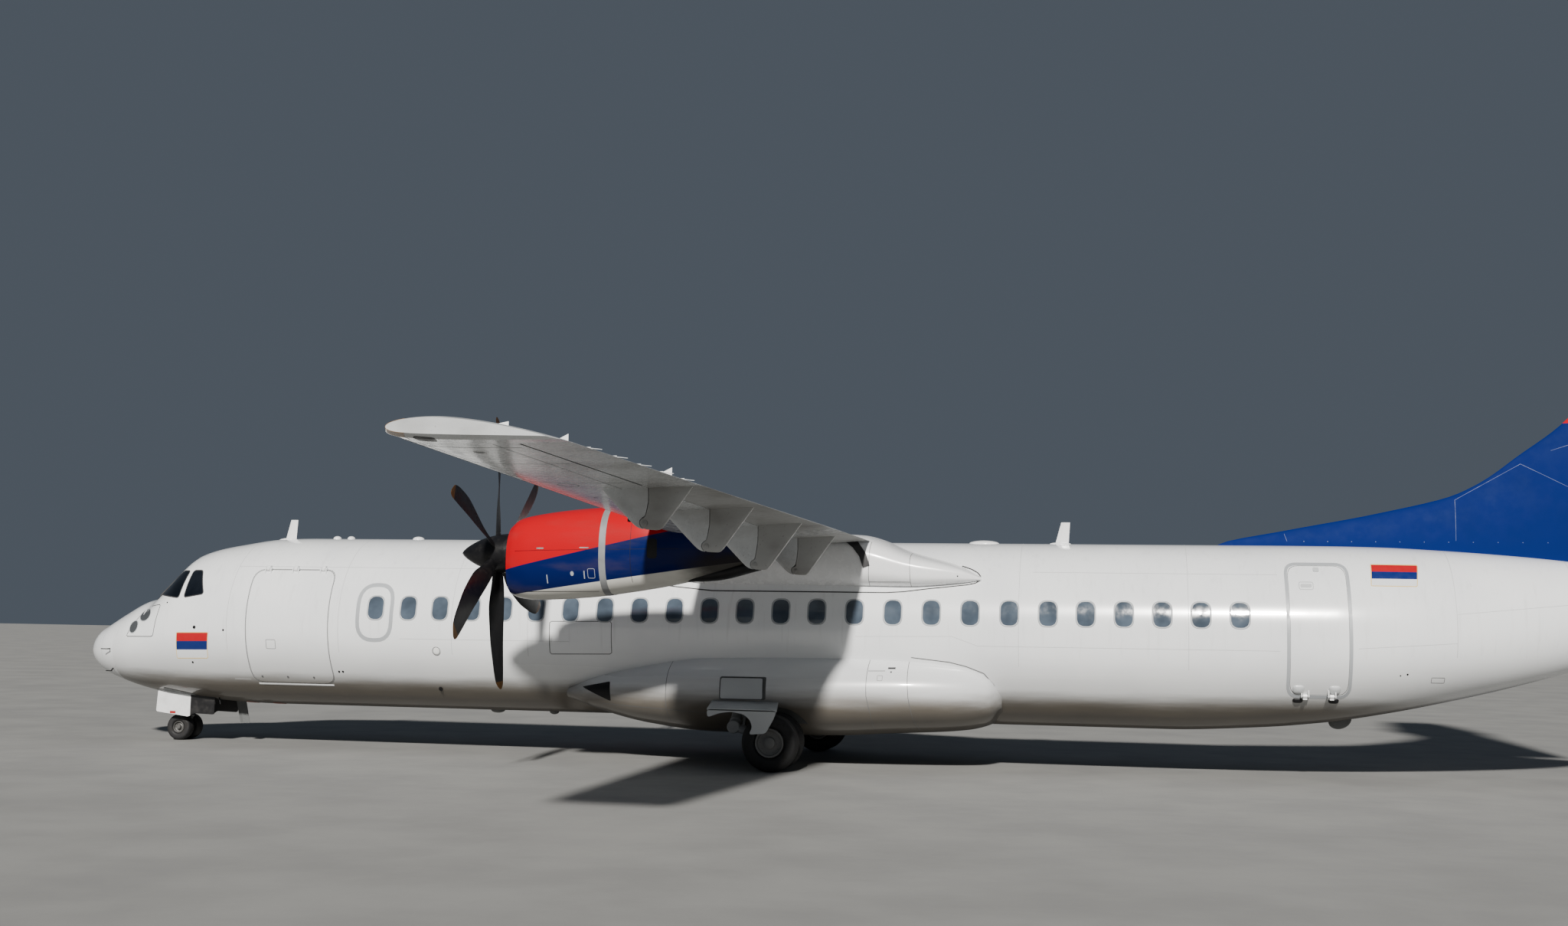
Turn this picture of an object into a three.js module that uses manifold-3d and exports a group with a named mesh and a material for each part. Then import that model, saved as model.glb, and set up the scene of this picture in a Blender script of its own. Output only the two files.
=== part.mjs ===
// A high-wing twin turboprop airliner, parked on its wheels.
// Millimetres. +X runs aft, +Y to starboard and +Z up. The origin is on the ground, on the
// centreline, halfway along the aircraft. Stations are measured aft from the tip of the nose.
import * as THREE from "three";
import { mergeVertices } from "three/addons/utils/BufferGeometryUtils.js";
import Module from "manifold-3d";

const wasm = await Module();
wasm.setup();

// Driving dimensions of the whole aircraft
const length = 27166;
const span = 27050;
const tube = { wall: 100 };
const port = -1;
const propeller = { station: 9120, y: 4050, z: 3150, diameter: 3930, blades: 6 };
const mainGear = { station: 12780, y: 2050, tyreDiameter: 864, tyreWidth: 254, twin: 430 };
const noseGear = { station: 1800, tyreDiameter: 450, tyreWidth: 190, twin: 290 };

// Clearances: between fixed pieces, and beside moving ones
const seam = 0.3;
const running = 8;

// How many flat sides stand for a round bar of this radius
const facetsFor = (radius) => (radius < 20 ? 6 : radius < 40 ? 10 : 16);

// Solids

const aft = (station) => station - length / 2;

function toSolid(vertices, triangles) {
  let volume = 0;
  for (let t = 0; t < triangles.length; t += 3) {
    const [a, b, c] = [0, 1, 2].map((k) => new THREE.Vector3(...vertices[triangles[t + k]]));
    volume += a.dot(b.cross(c));
  }
  if (volume < 0) triangles.reverse();
  const vertProperties = new Float32Array(vertices.flat());
  const triVerts = new Uint32Array(triangles);
  return new wasm.Manifold(new wasm.Mesh({ numProp: 3, vertProperties, triVerts }));
}

// A closed skin over rings with equal numbers of points, with a flat face at each end
function loft(rings) {
  const count = rings[0].length;
  const vertices = rings.flat();
  const triangles = [];
  for (let r = 0; r + 1 < rings.length; r += 1) {
    for (let i = 0; i < count; i += 1) {
      const a = r * count + i;
      const b = r * count + ((i + 1) % count);
      triangles.push(a, b, b + count, a, b + count, a + count);
    }
  }
  triangles.push(...endFace(rings[0], 0, true));
  triangles.push(...endFace(rings[rings.length - 1], vertices.length - count, false));
  return toSolid(vertices, triangles);
}

function endFace(ring, first, reversed) {
  const normal = new THREE.Vector3();
  ring.forEach((p, i) => {
    const q = ring[(i + 1) % ring.length];
    normal.x += (p[1] - q[1]) * (p[2] + q[2]);
    normal.y += (p[2] - q[2]) * (p[0] + q[0]);
    normal.z += (p[0] - q[0]) * (p[1] + q[1]);
  });
  const size = normal.toArray().map(Math.abs);
  const drop = size.indexOf(Math.max(...size));
  const [u, v] = [(drop + 1) % 3, (drop + 2) % 3];
  const outline = ring.map((p) => new THREE.Vector2(p[u], p[v]));
  const turn = Math.sign(THREE.ShapeUtils.area(outline));
  return THREE.ShapeUtils.triangulateShape(outline, []).flatMap((face) => {
    const corners = face.map((i) => outline[i]);
    const along = Math.sign(THREE.ShapeUtils.area(corners)) === turn;
    const order = along === reversed ? [face[0], face[2], face[1]] : face;
    return order.map((i) => i + first);
  });
}

function fromGeometry(geometry) {
  geometry.deleteAttribute("normal");
  geometry.deleteAttribute("uv");
  const merged = mergeVertices(geometry, 1e-3);
  const vertProperties = merged.attributes.position.array;
  return new wasm.Manifold(new wasm.Mesh({ numProp: 3, vertProperties, triVerts: merged.index.array }));
}

function box(x0, x1, y0, y1, z0, z1) {
  const geometry = new THREE.BoxGeometry(x1 - x0, y1 - y0, z1 - z0);
  geometry.translate((x0 + x1) / 2, (y0 + y1) / 2, (z0 + z1) / 2);
  return fromGeometry(geometry);
}

// A round bar from one point to another, its corners turned about its line
function bar(from, to, radius, facets = facetsFor(radius), turn = 0) {
  const start = new THREE.Vector3(...from);
  const along = new THREE.Vector3(...to).sub(start);
  const geometry = new THREE.CylinderGeometry(radius, radius, along.length(), facets);
  geometry.rotateY(turn);
  geometry.translate(0, along.length() / 2, 0);
  const up = new THREE.Vector3(0, 1, 0);
  geometry.applyQuaternion(new THREE.Quaternion().setFromUnitVectors(up, along.normalize()));
  geometry.translate(...from);
  return fromGeometry(geometry);
}

// A hole that a shaft of this radius turns in: its flats face the shaft's corners
function boreBar(from, to, radius) {
  const facets = facetsFor(radius);
  const half = Math.PI / facets;
  return bar(from, to, (radius + seam) / Math.cos(half), facets, half);
}

// A turned piece about a line along Y, from [radius, offset] points that start and end on it
function turned(profile, x, y, z, facets = 20) {
  const points = profile.map(([radius, offset]) => new THREE.Vector2(radius, offset));
  const geometry = new THREE.LatheGeometry(points, facets);
  geometry.translate(x, y, z);
  return fromGeometry(geometry);
}

const add = (...solids) => solids.reduce((whole, solid) => whole.add(solid));
const cut = (whole, ...tools) => tools.reduce((rest, tool) => rest.subtract(tool), whole);
const mirrored = (solid) => solid.mirror([0, 1, 0]);

// Materials, by finish

const paints = {
  white: { color: 0xe9ebe8, roughness: 0.3, metalness: 0 },
  radome: { color: 0xe4e5e1, roughness: 0.35, metalness: 0 },
  navy: { color: 0x10296b, roughness: 0.3, metalness: 0 },
  red: { color: 0xd8102a, roughness: 0.3, metalness: 0 },
  grey: { color: 0xb9bcbc, roughness: 0.4, metalness: 0 },
  black: { color: 0x17181a, roughness: 0.4, metalness: 0 },
  steel: { color: 0x9a9c9f, roughness: 0.35, metalness: 1 },
  glass: { color: 0x14181d, roughness: 0.1, metalness: 0 },
  tyre: { color: 0x1a1a1b, roughness: 0.85, metalness: 0 },
};
const finishes = Object.fromEntries(
  Object.entries(paints).map(([name, look]) => [name, new THREE.MeshStandardMaterial(look)]),
);

const aircraft = new THREE.Group();

function place(name, finish, solid) {
  const mesh = solid.getMesh();
  const geometry = new THREE.BufferGeometry();
  geometry.setAttribute("position", new THREE.BufferAttribute(mesh.vertProperties, 3));
  geometry.setIndex(new THREE.BufferAttribute(mesh.triVerts, 1));
  geometry.computeVertexNormals();
  const piece = new THREE.Mesh(geometry, finishes[finish]);
  piece.name = name;
  aircraft.add(piece);
}

// Puts a port piece in place and its mirror image to starboard
function placePair(name, finish, solid) {
  place(`${name}_left`, finish, solid);
  place(`${name}_right`, finish, mirrored(solid));
}

// Fuselage: columns are station, top z, bottom z, half width, and z of the widest line
const stations = [
  [0, 1600, 1480, 60, 1540],
  [50, 1735, 1375, 200, 1545],
  [170, 1880, 1245, 345, 1552],
  [380, 2000, 1120, 520, 1565],
  [800, 2240, 972, 775, 1600],
  [1170, 2425, 875, 950, 1650],
  [1400, 2480, 830, 1030, 1700],
  [1680, 2760, 790, 1115, 1760],
  [2200, 3260, 735, 1245, 1880],
  [2930, 3425, 685, 1365, 2010],
  [3600, 3515, 668, 1420, 2080],
  [4200, 3532.5, 667.5, 1432.5, 2100],
  [18600, 3532.5, 667.5, 1432.5, 2100],
  [20000, 3533, 735, 1430, 2110],
  [21000, 3530, 840, 1422, 2120],
  [21800, 3518, 980, 1370, 2150],
  [22700, 3475, 1180, 1240, 2240],
  [23600, 3415, 1410, 1050, 2350],
  [24500, 3335, 1680, 790, 2480],
  [25400, 3215, 2040, 500, 2630],
  [26100, 3080, 2430, 250, 2760],
  [26350, 2960, 2620, 110, 2790],
];
const tubeSides = 32;

function stationAt(x) {
  const after = Math.max(1, stations.findIndex((row) => row[0] >= x));
  const [low, high] = [stations[after - 1], stations[after]];
  const share = (x - low[0]) / (high[0] - low[0]);
  return low.map((value, i) => value + (high[i] - value) * share);
}

function tubeRing([x, top, bottom, half, waist], inset = 0) {
  return Array.from({ length: tubeSides }, (_, i) => {
    const angle = (i / tubeSides) * Math.PI * 2;
    const rise = Math.sin(angle) > 0 ? top - waist : waist - bottom;
    return [aft(x), (half - inset) * Math.cos(angle), waist + (rise - inset) * Math.sin(angle)];
  });
}

function tubeSection(from, to, inset = 0) {
  const between = stations.filter((row) => row[0] > from + 1 && row[0] < to - 1);
  return loft([stationAt(from), ...between, stationAt(to)].map((row) => tubeRing(row, inset)));
}

// Where the lengths of the fuselage meet
const meet = { radome: 800, cockpit: 3000, forward: 8600, centre: 16400, rear: 22700 };

// Doors: columns are side (-1 port), front and rear station, bottom and top z, corner radius
const doors = {
  cargo: { side: -1, front: 3670, rear: 5130, bottom: 1080, top: 2950, corner: 130, depth: 100 },
  passenger: { side: -1, front: 20350, rear: 21170, bottom: 1290, top: 3190, corner: 110, depth: 100 },
  service: { side: 1, front: 20450, rear: 21100, bottom: 1560, top: 2860, corner: 90, depth: 100 },
  exitLeft: { side: -1, front: 5640, rear: 6270, bottom: 1800, top: 2740, corner: 140, depth: 60 },
  exitRight: { side: 1, front: 5640, rear: 6270, bottom: 1800, top: 2740, corner: 140, depth: 60 },
};

function roundedOutline(x0, x1, z0, z1, corner, steps = 3) {
  const [left, right, low, high] = [x0 + corner, x1 - corner, z0 + corner, z1 - corner];
  const centres = [[right, high], [left, high], [left, low], [right, low]];
  return centres.flatMap(([x, z], quarter) => Array.from({ length: steps + 1 }, (_, i) => {
    const angle = (quarter + i / steps) * Math.PI / 2;
    return [x + corner * Math.cos(angle), z + corner * Math.sin(angle)];
  }));
}

// A block through the skin in the outline of a door, larger all round by the gap
function doorBlock(door, gap, inner = 300) {
  const outline = roundedOutline(aft(door.front) - gap, aft(door.rear) + gap,
    door.bottom - gap, door.top + gap, door.corner + gap);
  return loft([inner, 1700].map((y) => outline.map(([x, z]) => [x, door.side * y, z])));
}

const doorGap = { moving: 5, plug: seam };

function doorPanel(door) {
  const outside = tubeSection(door.front - 300, door.rear + 300);
  const inside = tubeSection(door.front - 400, door.rear + 400, door.depth);
  return outside.intersect(doorBlock(door, 0)).subtract(inside);
}

function doorRecess(door, gap) {
  const inside = tubeSection(door.front - 400, door.rear + 400, door.depth + seam);
  return doorBlock(door, gap).subtract(inside);
}

// Hinges of the doors: an eye on the skin between two cheeks on the door, round one pin.
// way is +1 where the door stands above its hinge and -1 where it hangs from it, and root is how
// far the eye's foot reaches in.
const doorHinges = {
  cargo: { stations: [3900, 4400, 4900], y: -1165, z: 2967, way: -1, root: 85 },
  passenger: { stations: [20570, 20950], y: -1140, z: 1273, way: 1, root: 125 },
};
const eye = { radius: 30, half: 30, pin: 14, cheek: 22 };

function doorHinge({ stations: places, y, z, way, root }) {
  const rod = (station, from, to, radius, make = bar) => make(
    [aft(station) + from, y, z], [aft(station) + to, y, z], radius);
  const cheek = [eye.half + running, eye.half + running + eye.cheek];
  const block = (x0, x1, y0, y1, z0, z1) => box(x0, x1, y0, y1, z + Math.min(way * z0, way * z1),
    z + Math.max(way * z0, way * z1));
  const parts = places.map((station) => {
    const x = aft(station);
    const cheeks = [-1, 1].flatMap((side) => {
      const [near, far] = side < 0 ? [-cheek[1], -cheek[0]] : cheek;
      return [rod(station, near, far, eye.radius),
        block(x + near, x + far, y - eye.radius, y + eye.radius, 0, 90)];
    });
    return {
      fixed: rod(station, -eye.half, eye.half, eye.radius).add(
        block(x - eye.half, x + eye.half, y, y + root, -58, -12)),
      hole: rod(station, -eye.half - 1, eye.half + 1, eye.pin, boreBar),
      moving: add(...cheeks, rod(station, -cheek[0] - 5, cheek[0] + 5, eye.pin)),
      cheekClear: [-1, 1].map((side) => {
        const middle = side * (cheek[0] + cheek[1]) / 2;
        const half = eye.cheek / 2 + running;
        return rod(station, middle - half, middle + half, eye.radius + running);
      }),
      eyeClear: rod(station, -eye.half - running, eye.half + running, eye.radius + running),
    };
  });
  return {
    onSkin: (skin) => cut(add(cut(skin, ...parts.flatMap((part) => part.cheekClear)),
      ...parts.map((part) => part.fixed)), ...parts.map((part) => part.hole)),
    onDoor: (door) => add(cut(door, ...parts.map((part) => part.eyeClear)),
      ...parts.map((part) => part.moving)),
  };
}

const cargoHinge = doorHinge(doorHinges.cargo);
const passengerHinge = doorHinge(doorHinges.passenger);

// Wing: columns are distance from the centreline, leading edge station and z, chord,
// incidence in degrees and thickness over chord
const wingRibs = [
  [0, 11500, 3620, 2600, 2.6, 0.18],
  [4300, 11500, 3620, 2600, 2.6, 0.18],
  [13200, 11621, 3856, 1625.6, 3.37, 0.132],
  [13420, 11650, 3853, 1580, 3.4, 0.125],
  [span / 2, 11700, 3860, 1440, 3.4, 0.1],
];
const wing = { centreEnd: 4500, tipStart: 13200, hingeShare: 0.7 };

function ribAt(ribs, y) {
  const after = Math.max(1, ribs.findIndex((row) => row[0] >= y - 1e-6));
  const [low, high] = [ribs[after - 1], ribs[after]];
  const share = (y - low[0]) / (high[0] - low[0]);
  return low.map((value, i) => value + (high[i] - value) * share);
}

// Half the thickness of a section at a share of its chord, with a 4 mm trailing edge
function halfThickness(chord, ratio, share) {
  const curve = 0.2969 * Math.sqrt(share) - 0.126 * share - 0.3516 * share ** 2 + 0.2843 * share ** 3
    - 0.1036 * share ** 4;
  return 5 * ratio * chord * curve + 2 * share;
}

// Height of the mean line: 2.5 per cent of the chord at 40 per cent of it
function camberLine(chord, share) {
  const rise = 0.025 * chord;
  if (share < 0.4) return (rise / 0.16) * (0.8 * share - share ** 2);
  return (rise / 0.36) * (0.2 + 0.8 * share - share ** 2);
}

// Turns a point in a rib's own chord frame into the aircraft's
function onRib([y, station, z, , incidence], side, along, up) {
  const angle = incidence * Math.PI / 180;
  return [
    aft(station) + along * Math.cos(angle) + up * Math.sin(angle),
    side * y,
    z - along * Math.sin(angle) + up * Math.cos(angle),
  ];
}

const chordSteps = 8;
const shares = Array.from({ length: chordSteps + 1 },
  (_, i) => (1 - Math.cos(Math.PI * i / chordSteps)) / 2);

function sectionRing(rib, side, camber, grow = 0) {
  const [, , , chord, , ratio] = rib;
  const point = (share, face) => {
    const along = share * chord + (share * 2 - 1) * grow;
    const up = (camber ? camberLine(chord, share) : 0) + face * (halfThickness(chord, ratio, share) + grow);
    return onRib(rib, side, along, up);
  };
  const upper = [...shares].reverse().map((share) => point(share, 1));
  const lower = shares.slice(grow ? 0 : 1).map((share) => point(share, -1));
  return [...upper, ...lower];
}

const wingPanel = (y0, y1, side, grow = 0) => loft(
  [y0, ...wingRibs.map((row) => row[0]).filter((y) => y > y0 && y < y1), y1]
    .map((y) => sectionRing(ribAt(wingRibs, y), side, true, grow)),
);

// A moving surface behind a hinge line: a round nose about the hinge, then the section's own tail
function hingeOf(rib, line, camber) {
  const [, , , chord, , ratio] = rib;
  const depth = halfThickness(chord, ratio, line);
  return { along: line * chord, up: camber ? camberLine(chord, line) : 0, depth, nose: depth * 0.86 };
}

function surfaceRing(rib, side, { line, swing }, camber) {
  const [, , , chord, , ratio] = rib;
  const hinge = hingeOf(rib, line, camber);
  const start = line + (hinge.depth * Math.tan(swing) + 2) / chord;
  const tail = Array.from({ length: 4 }, (_, i) => start + (1 - start) * (i / 3));
  const skin = (share, face) => onRib(rib, side, share * chord,
    (camber ? camberLine(chord, share) : 0) + face * halfThickness(chord, ratio, share));
  const noseArc = Array.from({ length: 9 }, (_, i) => {
    const angle = Math.PI / 2 - swing + (i / 8) * (Math.PI + 2 * swing);
    return onRib(rib, side, hinge.along + hinge.nose * Math.cos(angle),
      hinge.up + hinge.nose * Math.sin(angle));
  });
  return [
    ...[...tail].reverse().map((share) => skin(share, 1)),
    ...noseArc,
    ...tail.map((share) => skin(share, -1)),
  ];
}

// The space that such a surface turns in, cut out of what carries it
function coveRing(rib, side, line, camber) {
  const [, , , chord] = rib;
  const hinge = hingeOf(rib, line, camber);
  const radius = hinge.nose + running;
  const lip = Math.acos(-running / radius);
  const clear = hinge.depth + 150;
  const arc = Array.from({ length: 9 }, (_, i) => {
    const angle = lip + (i / 8) * (2 * Math.PI - 2 * lip);
    return [hinge.along + radius * Math.cos(angle), hinge.up + radius * Math.sin(angle)];
  });
  const outline = [
    [chord + 200, hinge.up + clear],
    [hinge.along - running, hinge.up + clear],
    ...arc,
    [hinge.along - running, hinge.up - clear],
    [chord + 200, hinge.up - clear],
  ];
  return outline.map(([along, up]) => onRib(rib, side, along, up));
}

const pinRadius = 16;
const degrees = (angle) => angle * Math.PI / 180;

// Moving surfaces of the port wing: columns are inner and outer end, hinge share, swing at the
// seam, and how far below the hinge line each end of the turning line lies. pods gives the
// distance of each hinge pod from the centreline.
const wingSurfaces = {
  flap_inboard: {
    inner: 1560, outer: 3600, line: wing.hingeShare, swing: degrees(2), drop: [610, 610], pods: [3100],
  },
  flap_outboard: {
    inner: 4600, outer: 9880, line: wing.hingeShare, swing: degrees(2), drop: [680, 465],
    pods: [5500, 7600, 9760],
  },
  aileron: { inner: 9980, outer: 13120, line: wing.hingeShare, swing: degrees(14), drop: [0, 0], pods: [] },
};

// Gives places in a surface's own frame at a distance from the centreline: from its turning
// line, s runs aft, w outboard along the line and t up
function turningFrame(ribs, surface, y, side, camber) {
  const point = (at, drop) => {
    const rib = ribAt(ribs, at);
    const hinge = hingeOf(rib, surface.line, camber);
    return new THREE.Vector3(...onRib(rib, side, hinge.along, hinge.up - drop));
  };
  const inner = point(surface.inner, surface.drop[0]);
  const outer = point(surface.outer, surface.drop[1]);
  const share = (y - surface.inner) / (surface.outer - surface.inner);
  const origin = inner.clone().lerp(outer, share);
  const out = outer.clone().sub(inner).normalize();
  const up = point(y, 0).sub(point(y, 100));
  up.addScaledVector(out, -up.dot(out)).normalize();
  const back = new THREE.Vector3().crossVectors(up, out).multiplyScalar(-side);
  return (s, w, t) => origin.clone().addScaledVector(back, s).addScaledVector(out, w)
    .addScaledVector(up, t).toArray();
}

// A solid through the turning frame, from outlines of [s, t] points at distances w
const across = (at, outline, ...widths) => loft(widths.map((w) => outline.map(([s, t]) => at(s, w, t))));
const rectangle = (s0, s1, t0, t1) => [[s0, t0], [s1, t0], [s1, t1], [s0, t1]];

// Cuts a surface, or the space for it, off square to its turning line at both ends
function squared(solid, ribs, surface, inset, side, camber) {
  const far = rectangle(-3000, 3000, -3000, 3000);
  const ends = [surface.inner + inset, surface.outer - inset].map((y) => {
    const at = turningFrame(ribs, surface, y, side, camber);
    return far.map(([s, t]) => at(s, 0, t));
  });
  return solid.intersect(loft(ends));
}

function spanwise(ribs, surface, side, inset, camber, ring) {
  const beyond = 90;
  const ends = [surface.inner - beyond, surface.outer + beyond];
  return squared(loft(ends.map((y) => ring(ribAt(ribs, y), side))), ribs, surface, inset, side, camber);
}

const cove = (ribs, surface, side, camber) => spanwise(ribs, surface, side, 0, camber,
  (rib, s) => coveRing(rib, s, surface.line, camber));
const movingSurface = (ribs, surface, side, camber) => spanwise(ribs, surface, side, running, camber,
  (rib, s) => surfaceRing(rib, s, surface, camber));

// A pin on the turning line of a surface, through its end and into what carries it
function hingePin(ribs, surface, y, reach, side, camber, make = bar) {
  const at = turningFrame(ribs, surface, y, side, camber);
  return make(at(0, -reach, 0), at(0, reach, 0), pinRadius);
}

// Flap pods: a fixed front under the wing with a tongue, and a rear under the flap whose
// cheeks turn on a pin through the tongue
const pod = {
  bottom: -60, frontCorner: -95, rearCorner: 165, frontSlope: 0.9, rearSlope: 1.54,
  eye: 58, tongue: 45, tongueHalf: 20, pinHalf: 38, half: 62, facets: 8,
};

function podSection(w, low, high) {
  const rise = (high - low) * 0.35;
  return [[-w, high], [-w, low + rise], [-0.6 * w, low], [0.6 * w, low], [w, low + rise], [w, high]];
}

function flapPod(surface, y) {
  const at = turningFrame(wingRibs, surface, y, port, true);
  const share = (y - surface.inner) / (surface.outer - surface.inner);
  const drop = surface.drop[0] + (surface.drop[1] - surface.drop[0]) * share;
  const top = drop - 25;
  const rise = top - pod.bottom - 20;
  const rows = [
    [pod.frontCorner - rise / pod.frontSlope, top - 20, 10],
    [pod.frontCorner - rise / pod.frontSlope / 2, pod.bottom + rise / 2, pod.half * 0.85],
    [pod.frontCorner, pod.bottom, pod.half],
    [pod.rearCorner, pod.bottom, pod.half * 0.9],
    [pod.rearCorner + rise / pod.rearSlope / 2, pod.bottom + rise / 2, pod.half * 0.65],
    [pod.rearCorner + rise / pod.rearSlope, top - 20, 10],
  ];
  const body = loft(rows.map(([s, low, w]) => podSection(w, low, top).map(([side, t]) => at(s, side, t))));
  const rod = (radius, half, make = bar) => make(at(0, -half, 0), at(0, half, 0), radius);
  const disc = (radius, half) => bar(at(0, -half, 0), at(0, half, 0), radius, pod.facets);
  const clear = (radius) => (radius + running) / Math.cos(Math.PI / pod.facets);
  const wide = 2 * pod.half;
  const front = body.intersect(across(at, rectangle(-1500, -running, -300, 1000), -wide, wide));
  const rear = body.intersect(across(at, rectangle(0, 1500, -300, 1000), -wide, wide));
  const tongue = disc(pod.tongue, pod.tongueHalf).add(
    across(at, rectangle(-pod.eye - 50, 0, -30, 30), -pod.tongueHalf, pod.tongueHalf));
  const slotHalf = pod.tongueHalf + running;
  return {
    fixed: cut(front, disc(clear(pod.eye), wide)).add(tongue),
    hole: rod(pinRadius, pod.tongueHalf + 1, boreBar),
    moving: cut(rear.add(body.intersect(disc(pod.eye, wide))), disc(clear(pod.eye + running), slotHalf)).add(
      rod(pinRadius, pod.pinHalf)),
  };
}

// An arm at the inner end of the inboard flap, down to a pin in the root fairing
const flapArm = { from: running, to: 32, eye: 50, pin: 25, reach: 150 };

// Fin and tailplane
const fin = { hingeFoot: [25350, 3300], hingeHead: [26330, 7100] };
const rudder = { foot: [26420, 3330], head: [26960, 7090], swing: degrees(27) };

// Leading edge of the dorsal fin and fin: columns are z, station, half thickness at the rear
const finEdge = [
  [3150, 19000, 175],
  [3560, 19450, 172],
  [3770, 20430, 168],
  [4030, 21750, 163],
  [4340, 22950, 158],
  [4980, 23920, 145],
  [5430, 24500, 137],
  [6200, 25130, 123],
  [7160, 25600, 105],
];
const tailplaneRibs = [
  [0, 25150, 7400, 1990, 0, 0.11],
  [3655, 25560, 7400, 1240, 0, 0.1],
];
const elevator = { inner: 300, outer: 3655, line: 0.66, swing: degrees(23), drop: [0, 0] };
const bullet = { front: 24980, rear: length, z: 7400, radius: 245 };

const rudderPin = 22;
const lineAt = ([xa, za], [xb, zb], z) => xa + ((xb - xa) * (z - za)) / (zb - za);
const finRow = (z) => ribAt(finEdge, z);

// Fin: pointed in front, its back a hollow round the nose of the rudder
function finRing(z) {
  const [, front, half] = finRow(z);
  const hinge = lineAt(fin.hingeFoot, fin.hingeHead, z);
  const nose = half * 0.86 + running;
  const lip = Math.acos(-running / nose);
  const skin = [0, 0.02, 0.08, 0.2, 0.4, 0.7, 1].map((share) => [
    front + (hinge - running - front) * share,
    half * Math.sin((Math.PI / 2) * share) ** 0.75,
  ]);
  const hollow = Array.from({ length: 7 }, (_, i) => {
    const angle = lip + (i / 6) * (2 * Math.PI - 2 * lip);
    return [hinge + nose * Math.cos(angle), nose * Math.sin(angle)];
  });
  const port = skin.slice(1).reverse().map(([x, y]) => [aft(x), -y, z]);
  const starboard = skin.map(([x, y]) => [aft(x), y, z]);
  return [...port, ...starboard, ...hollow.map(([x, y]) => [aft(x), y, z])];
}

function rudderRing(z) {
  const [, , half] = finRow(z);
  const hinge = lineAt(fin.hingeFoot, fin.hingeHead, z);
  const tail = lineAt(rudder.foot, rudder.head, z);
  const start = half * Math.tan(rudder.swing) + 10;
  const arc = Array.from({ length: 9 }, (_, i) => {
    const angle = Math.PI / 2 - rudder.swing + (i / 8) * (Math.PI + 2 * rudder.swing);
    return [hinge + half * 0.84 * Math.cos(angle), half * 0.84 * Math.sin(angle)];
  });
  const shoulder = half * 0.96;
  const outline = [[tail, 3], [hinge + start, shoulder], ...arc, [hinge + start, -shoulder], [tail, -3]];
  return outline.map(([x, y]) => [aft(x), y, z]);
}

function tailBullet(grow = 0) {
  const shape = [[0, 0.12], [0.06, 0.55], [0.2, 0.9], [0.4, 1], [0.7, 0.86], [0.92, 0.5], [1, 0.2]];
  return loft(shape.map(([share, scale]) => {
    const x = aft(bullet.front + (bullet.rear - bullet.front) * share) + (share * 2 - 1) * grow;
    const reach = bullet.radius * scale + grow;
    return Array.from({ length: 16 }, (_, i) => {
      const angle = (i / 16) * Math.PI * 2;
      return [x, reach * Math.cos(angle), bullet.z + reach * Math.sin(angle)];
    });
  }));
}

const tailplanePanel = (side) => loft(tailplaneRibs.map((rib) => sectionRing(rib, side, false)));

// Oval lofts along the aircraft: columns are station, top z, bottom z, half width, centre y
function ovalRing([x, top, bottom, half, y], facets, power = 1, grow = 0) {
  return Array.from({ length: facets }, (_, i) => {
    const angle = (i / facets) * Math.PI * 2;
    const across = Math.sign(Math.cos(angle)) * Math.abs(Math.cos(angle)) ** power;
    const up = Math.sign(Math.sin(angle)) * Math.abs(Math.sin(angle)) ** power;
    return [aft(x), y + (half + grow) * across, (top + bottom) / 2 + ((top - bottom) / 2 + grow) * up];
  });
}

const nacelleStations = [
  [9340, 3550, 2560, 370],
  [9450, 3640, 2515, 430],
  [9700, 3705, 2490, 490],
  [10450, 3800, 2530, 525],
  [11200, 3840, 2630, 530],
  [11800, 3770, 2740, 490],
  [12400, 3600, 2890, 380],
  [12900, 3480, 3060, 240],
  [13150, 3440, 3180, 120],
];
const engine = { front: 9450, rear: 11250, half: 290, bottom: 2850, top: 3420 };

// Wing root fairing: columns are station, top z, bottom z, half width
const fairingStations = [
  [10250, 3440, 2900, 1040],
  [10900, 3600, 2780, 1400],
  [11600, 3700, 2710, 1500],
  [13900, 3630, 2710, 1500],
  [14720, 3360, 2725, 1450],
  [15500, 3150, 2810, 1345],
  [15820, 2985, 2885, 1225],
];

// Landing gear fairing: columns are station, top z, bottom z, half width
const sponsonStations = [
  [9200, 1180, 900, 1150],
  [9700, 1420, 720, 1420],
  [10500, 1640, 540, 1650],
  [11500, 1800, 440, 1800],
  [13200, 1840, 430, 1830],
  [14500, 1830, 500, 1770],
  [15500, 1780, 570, 1610],
  [15960, 1600, 690, 1410],
  [16130, 1240, 880, 1110],
];
const bellyHalf = 900;

// Fuselage pieces
const hold = tubeSection(3450, 5450, tube.wall);
const noseBay = { front: 1430, rear: 2570, half: 362, top: 1240 };
const wingClear = (side) => wingPanel(0, wing.centreEnd, side, seam);
const bothWings = wingClear(-1).add(wingClear(1));

// Glazing of the flight deck: one band round the nose, from outline points of station and z
const glazing = { depth: 22, outline: [
  [1000, 2500], [1820, 2500], [2300, 2455], [2770, 2545], [2560, 2940], [1960, 2932], [1000, 2932],
] };
const glazingBlock = (gap) => loft([-1600, 1600].map((y) => glazing.outline.map(([x, z], i) => [
  aft(x) + (i > 1 && i < 5 ? gap : 0), y, z + (i > 3 ? gap : -gap)])));
const noseShell = tubeSection(900, 3100).subtract(tubeSection(850, 3150, glazing.depth));

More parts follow.
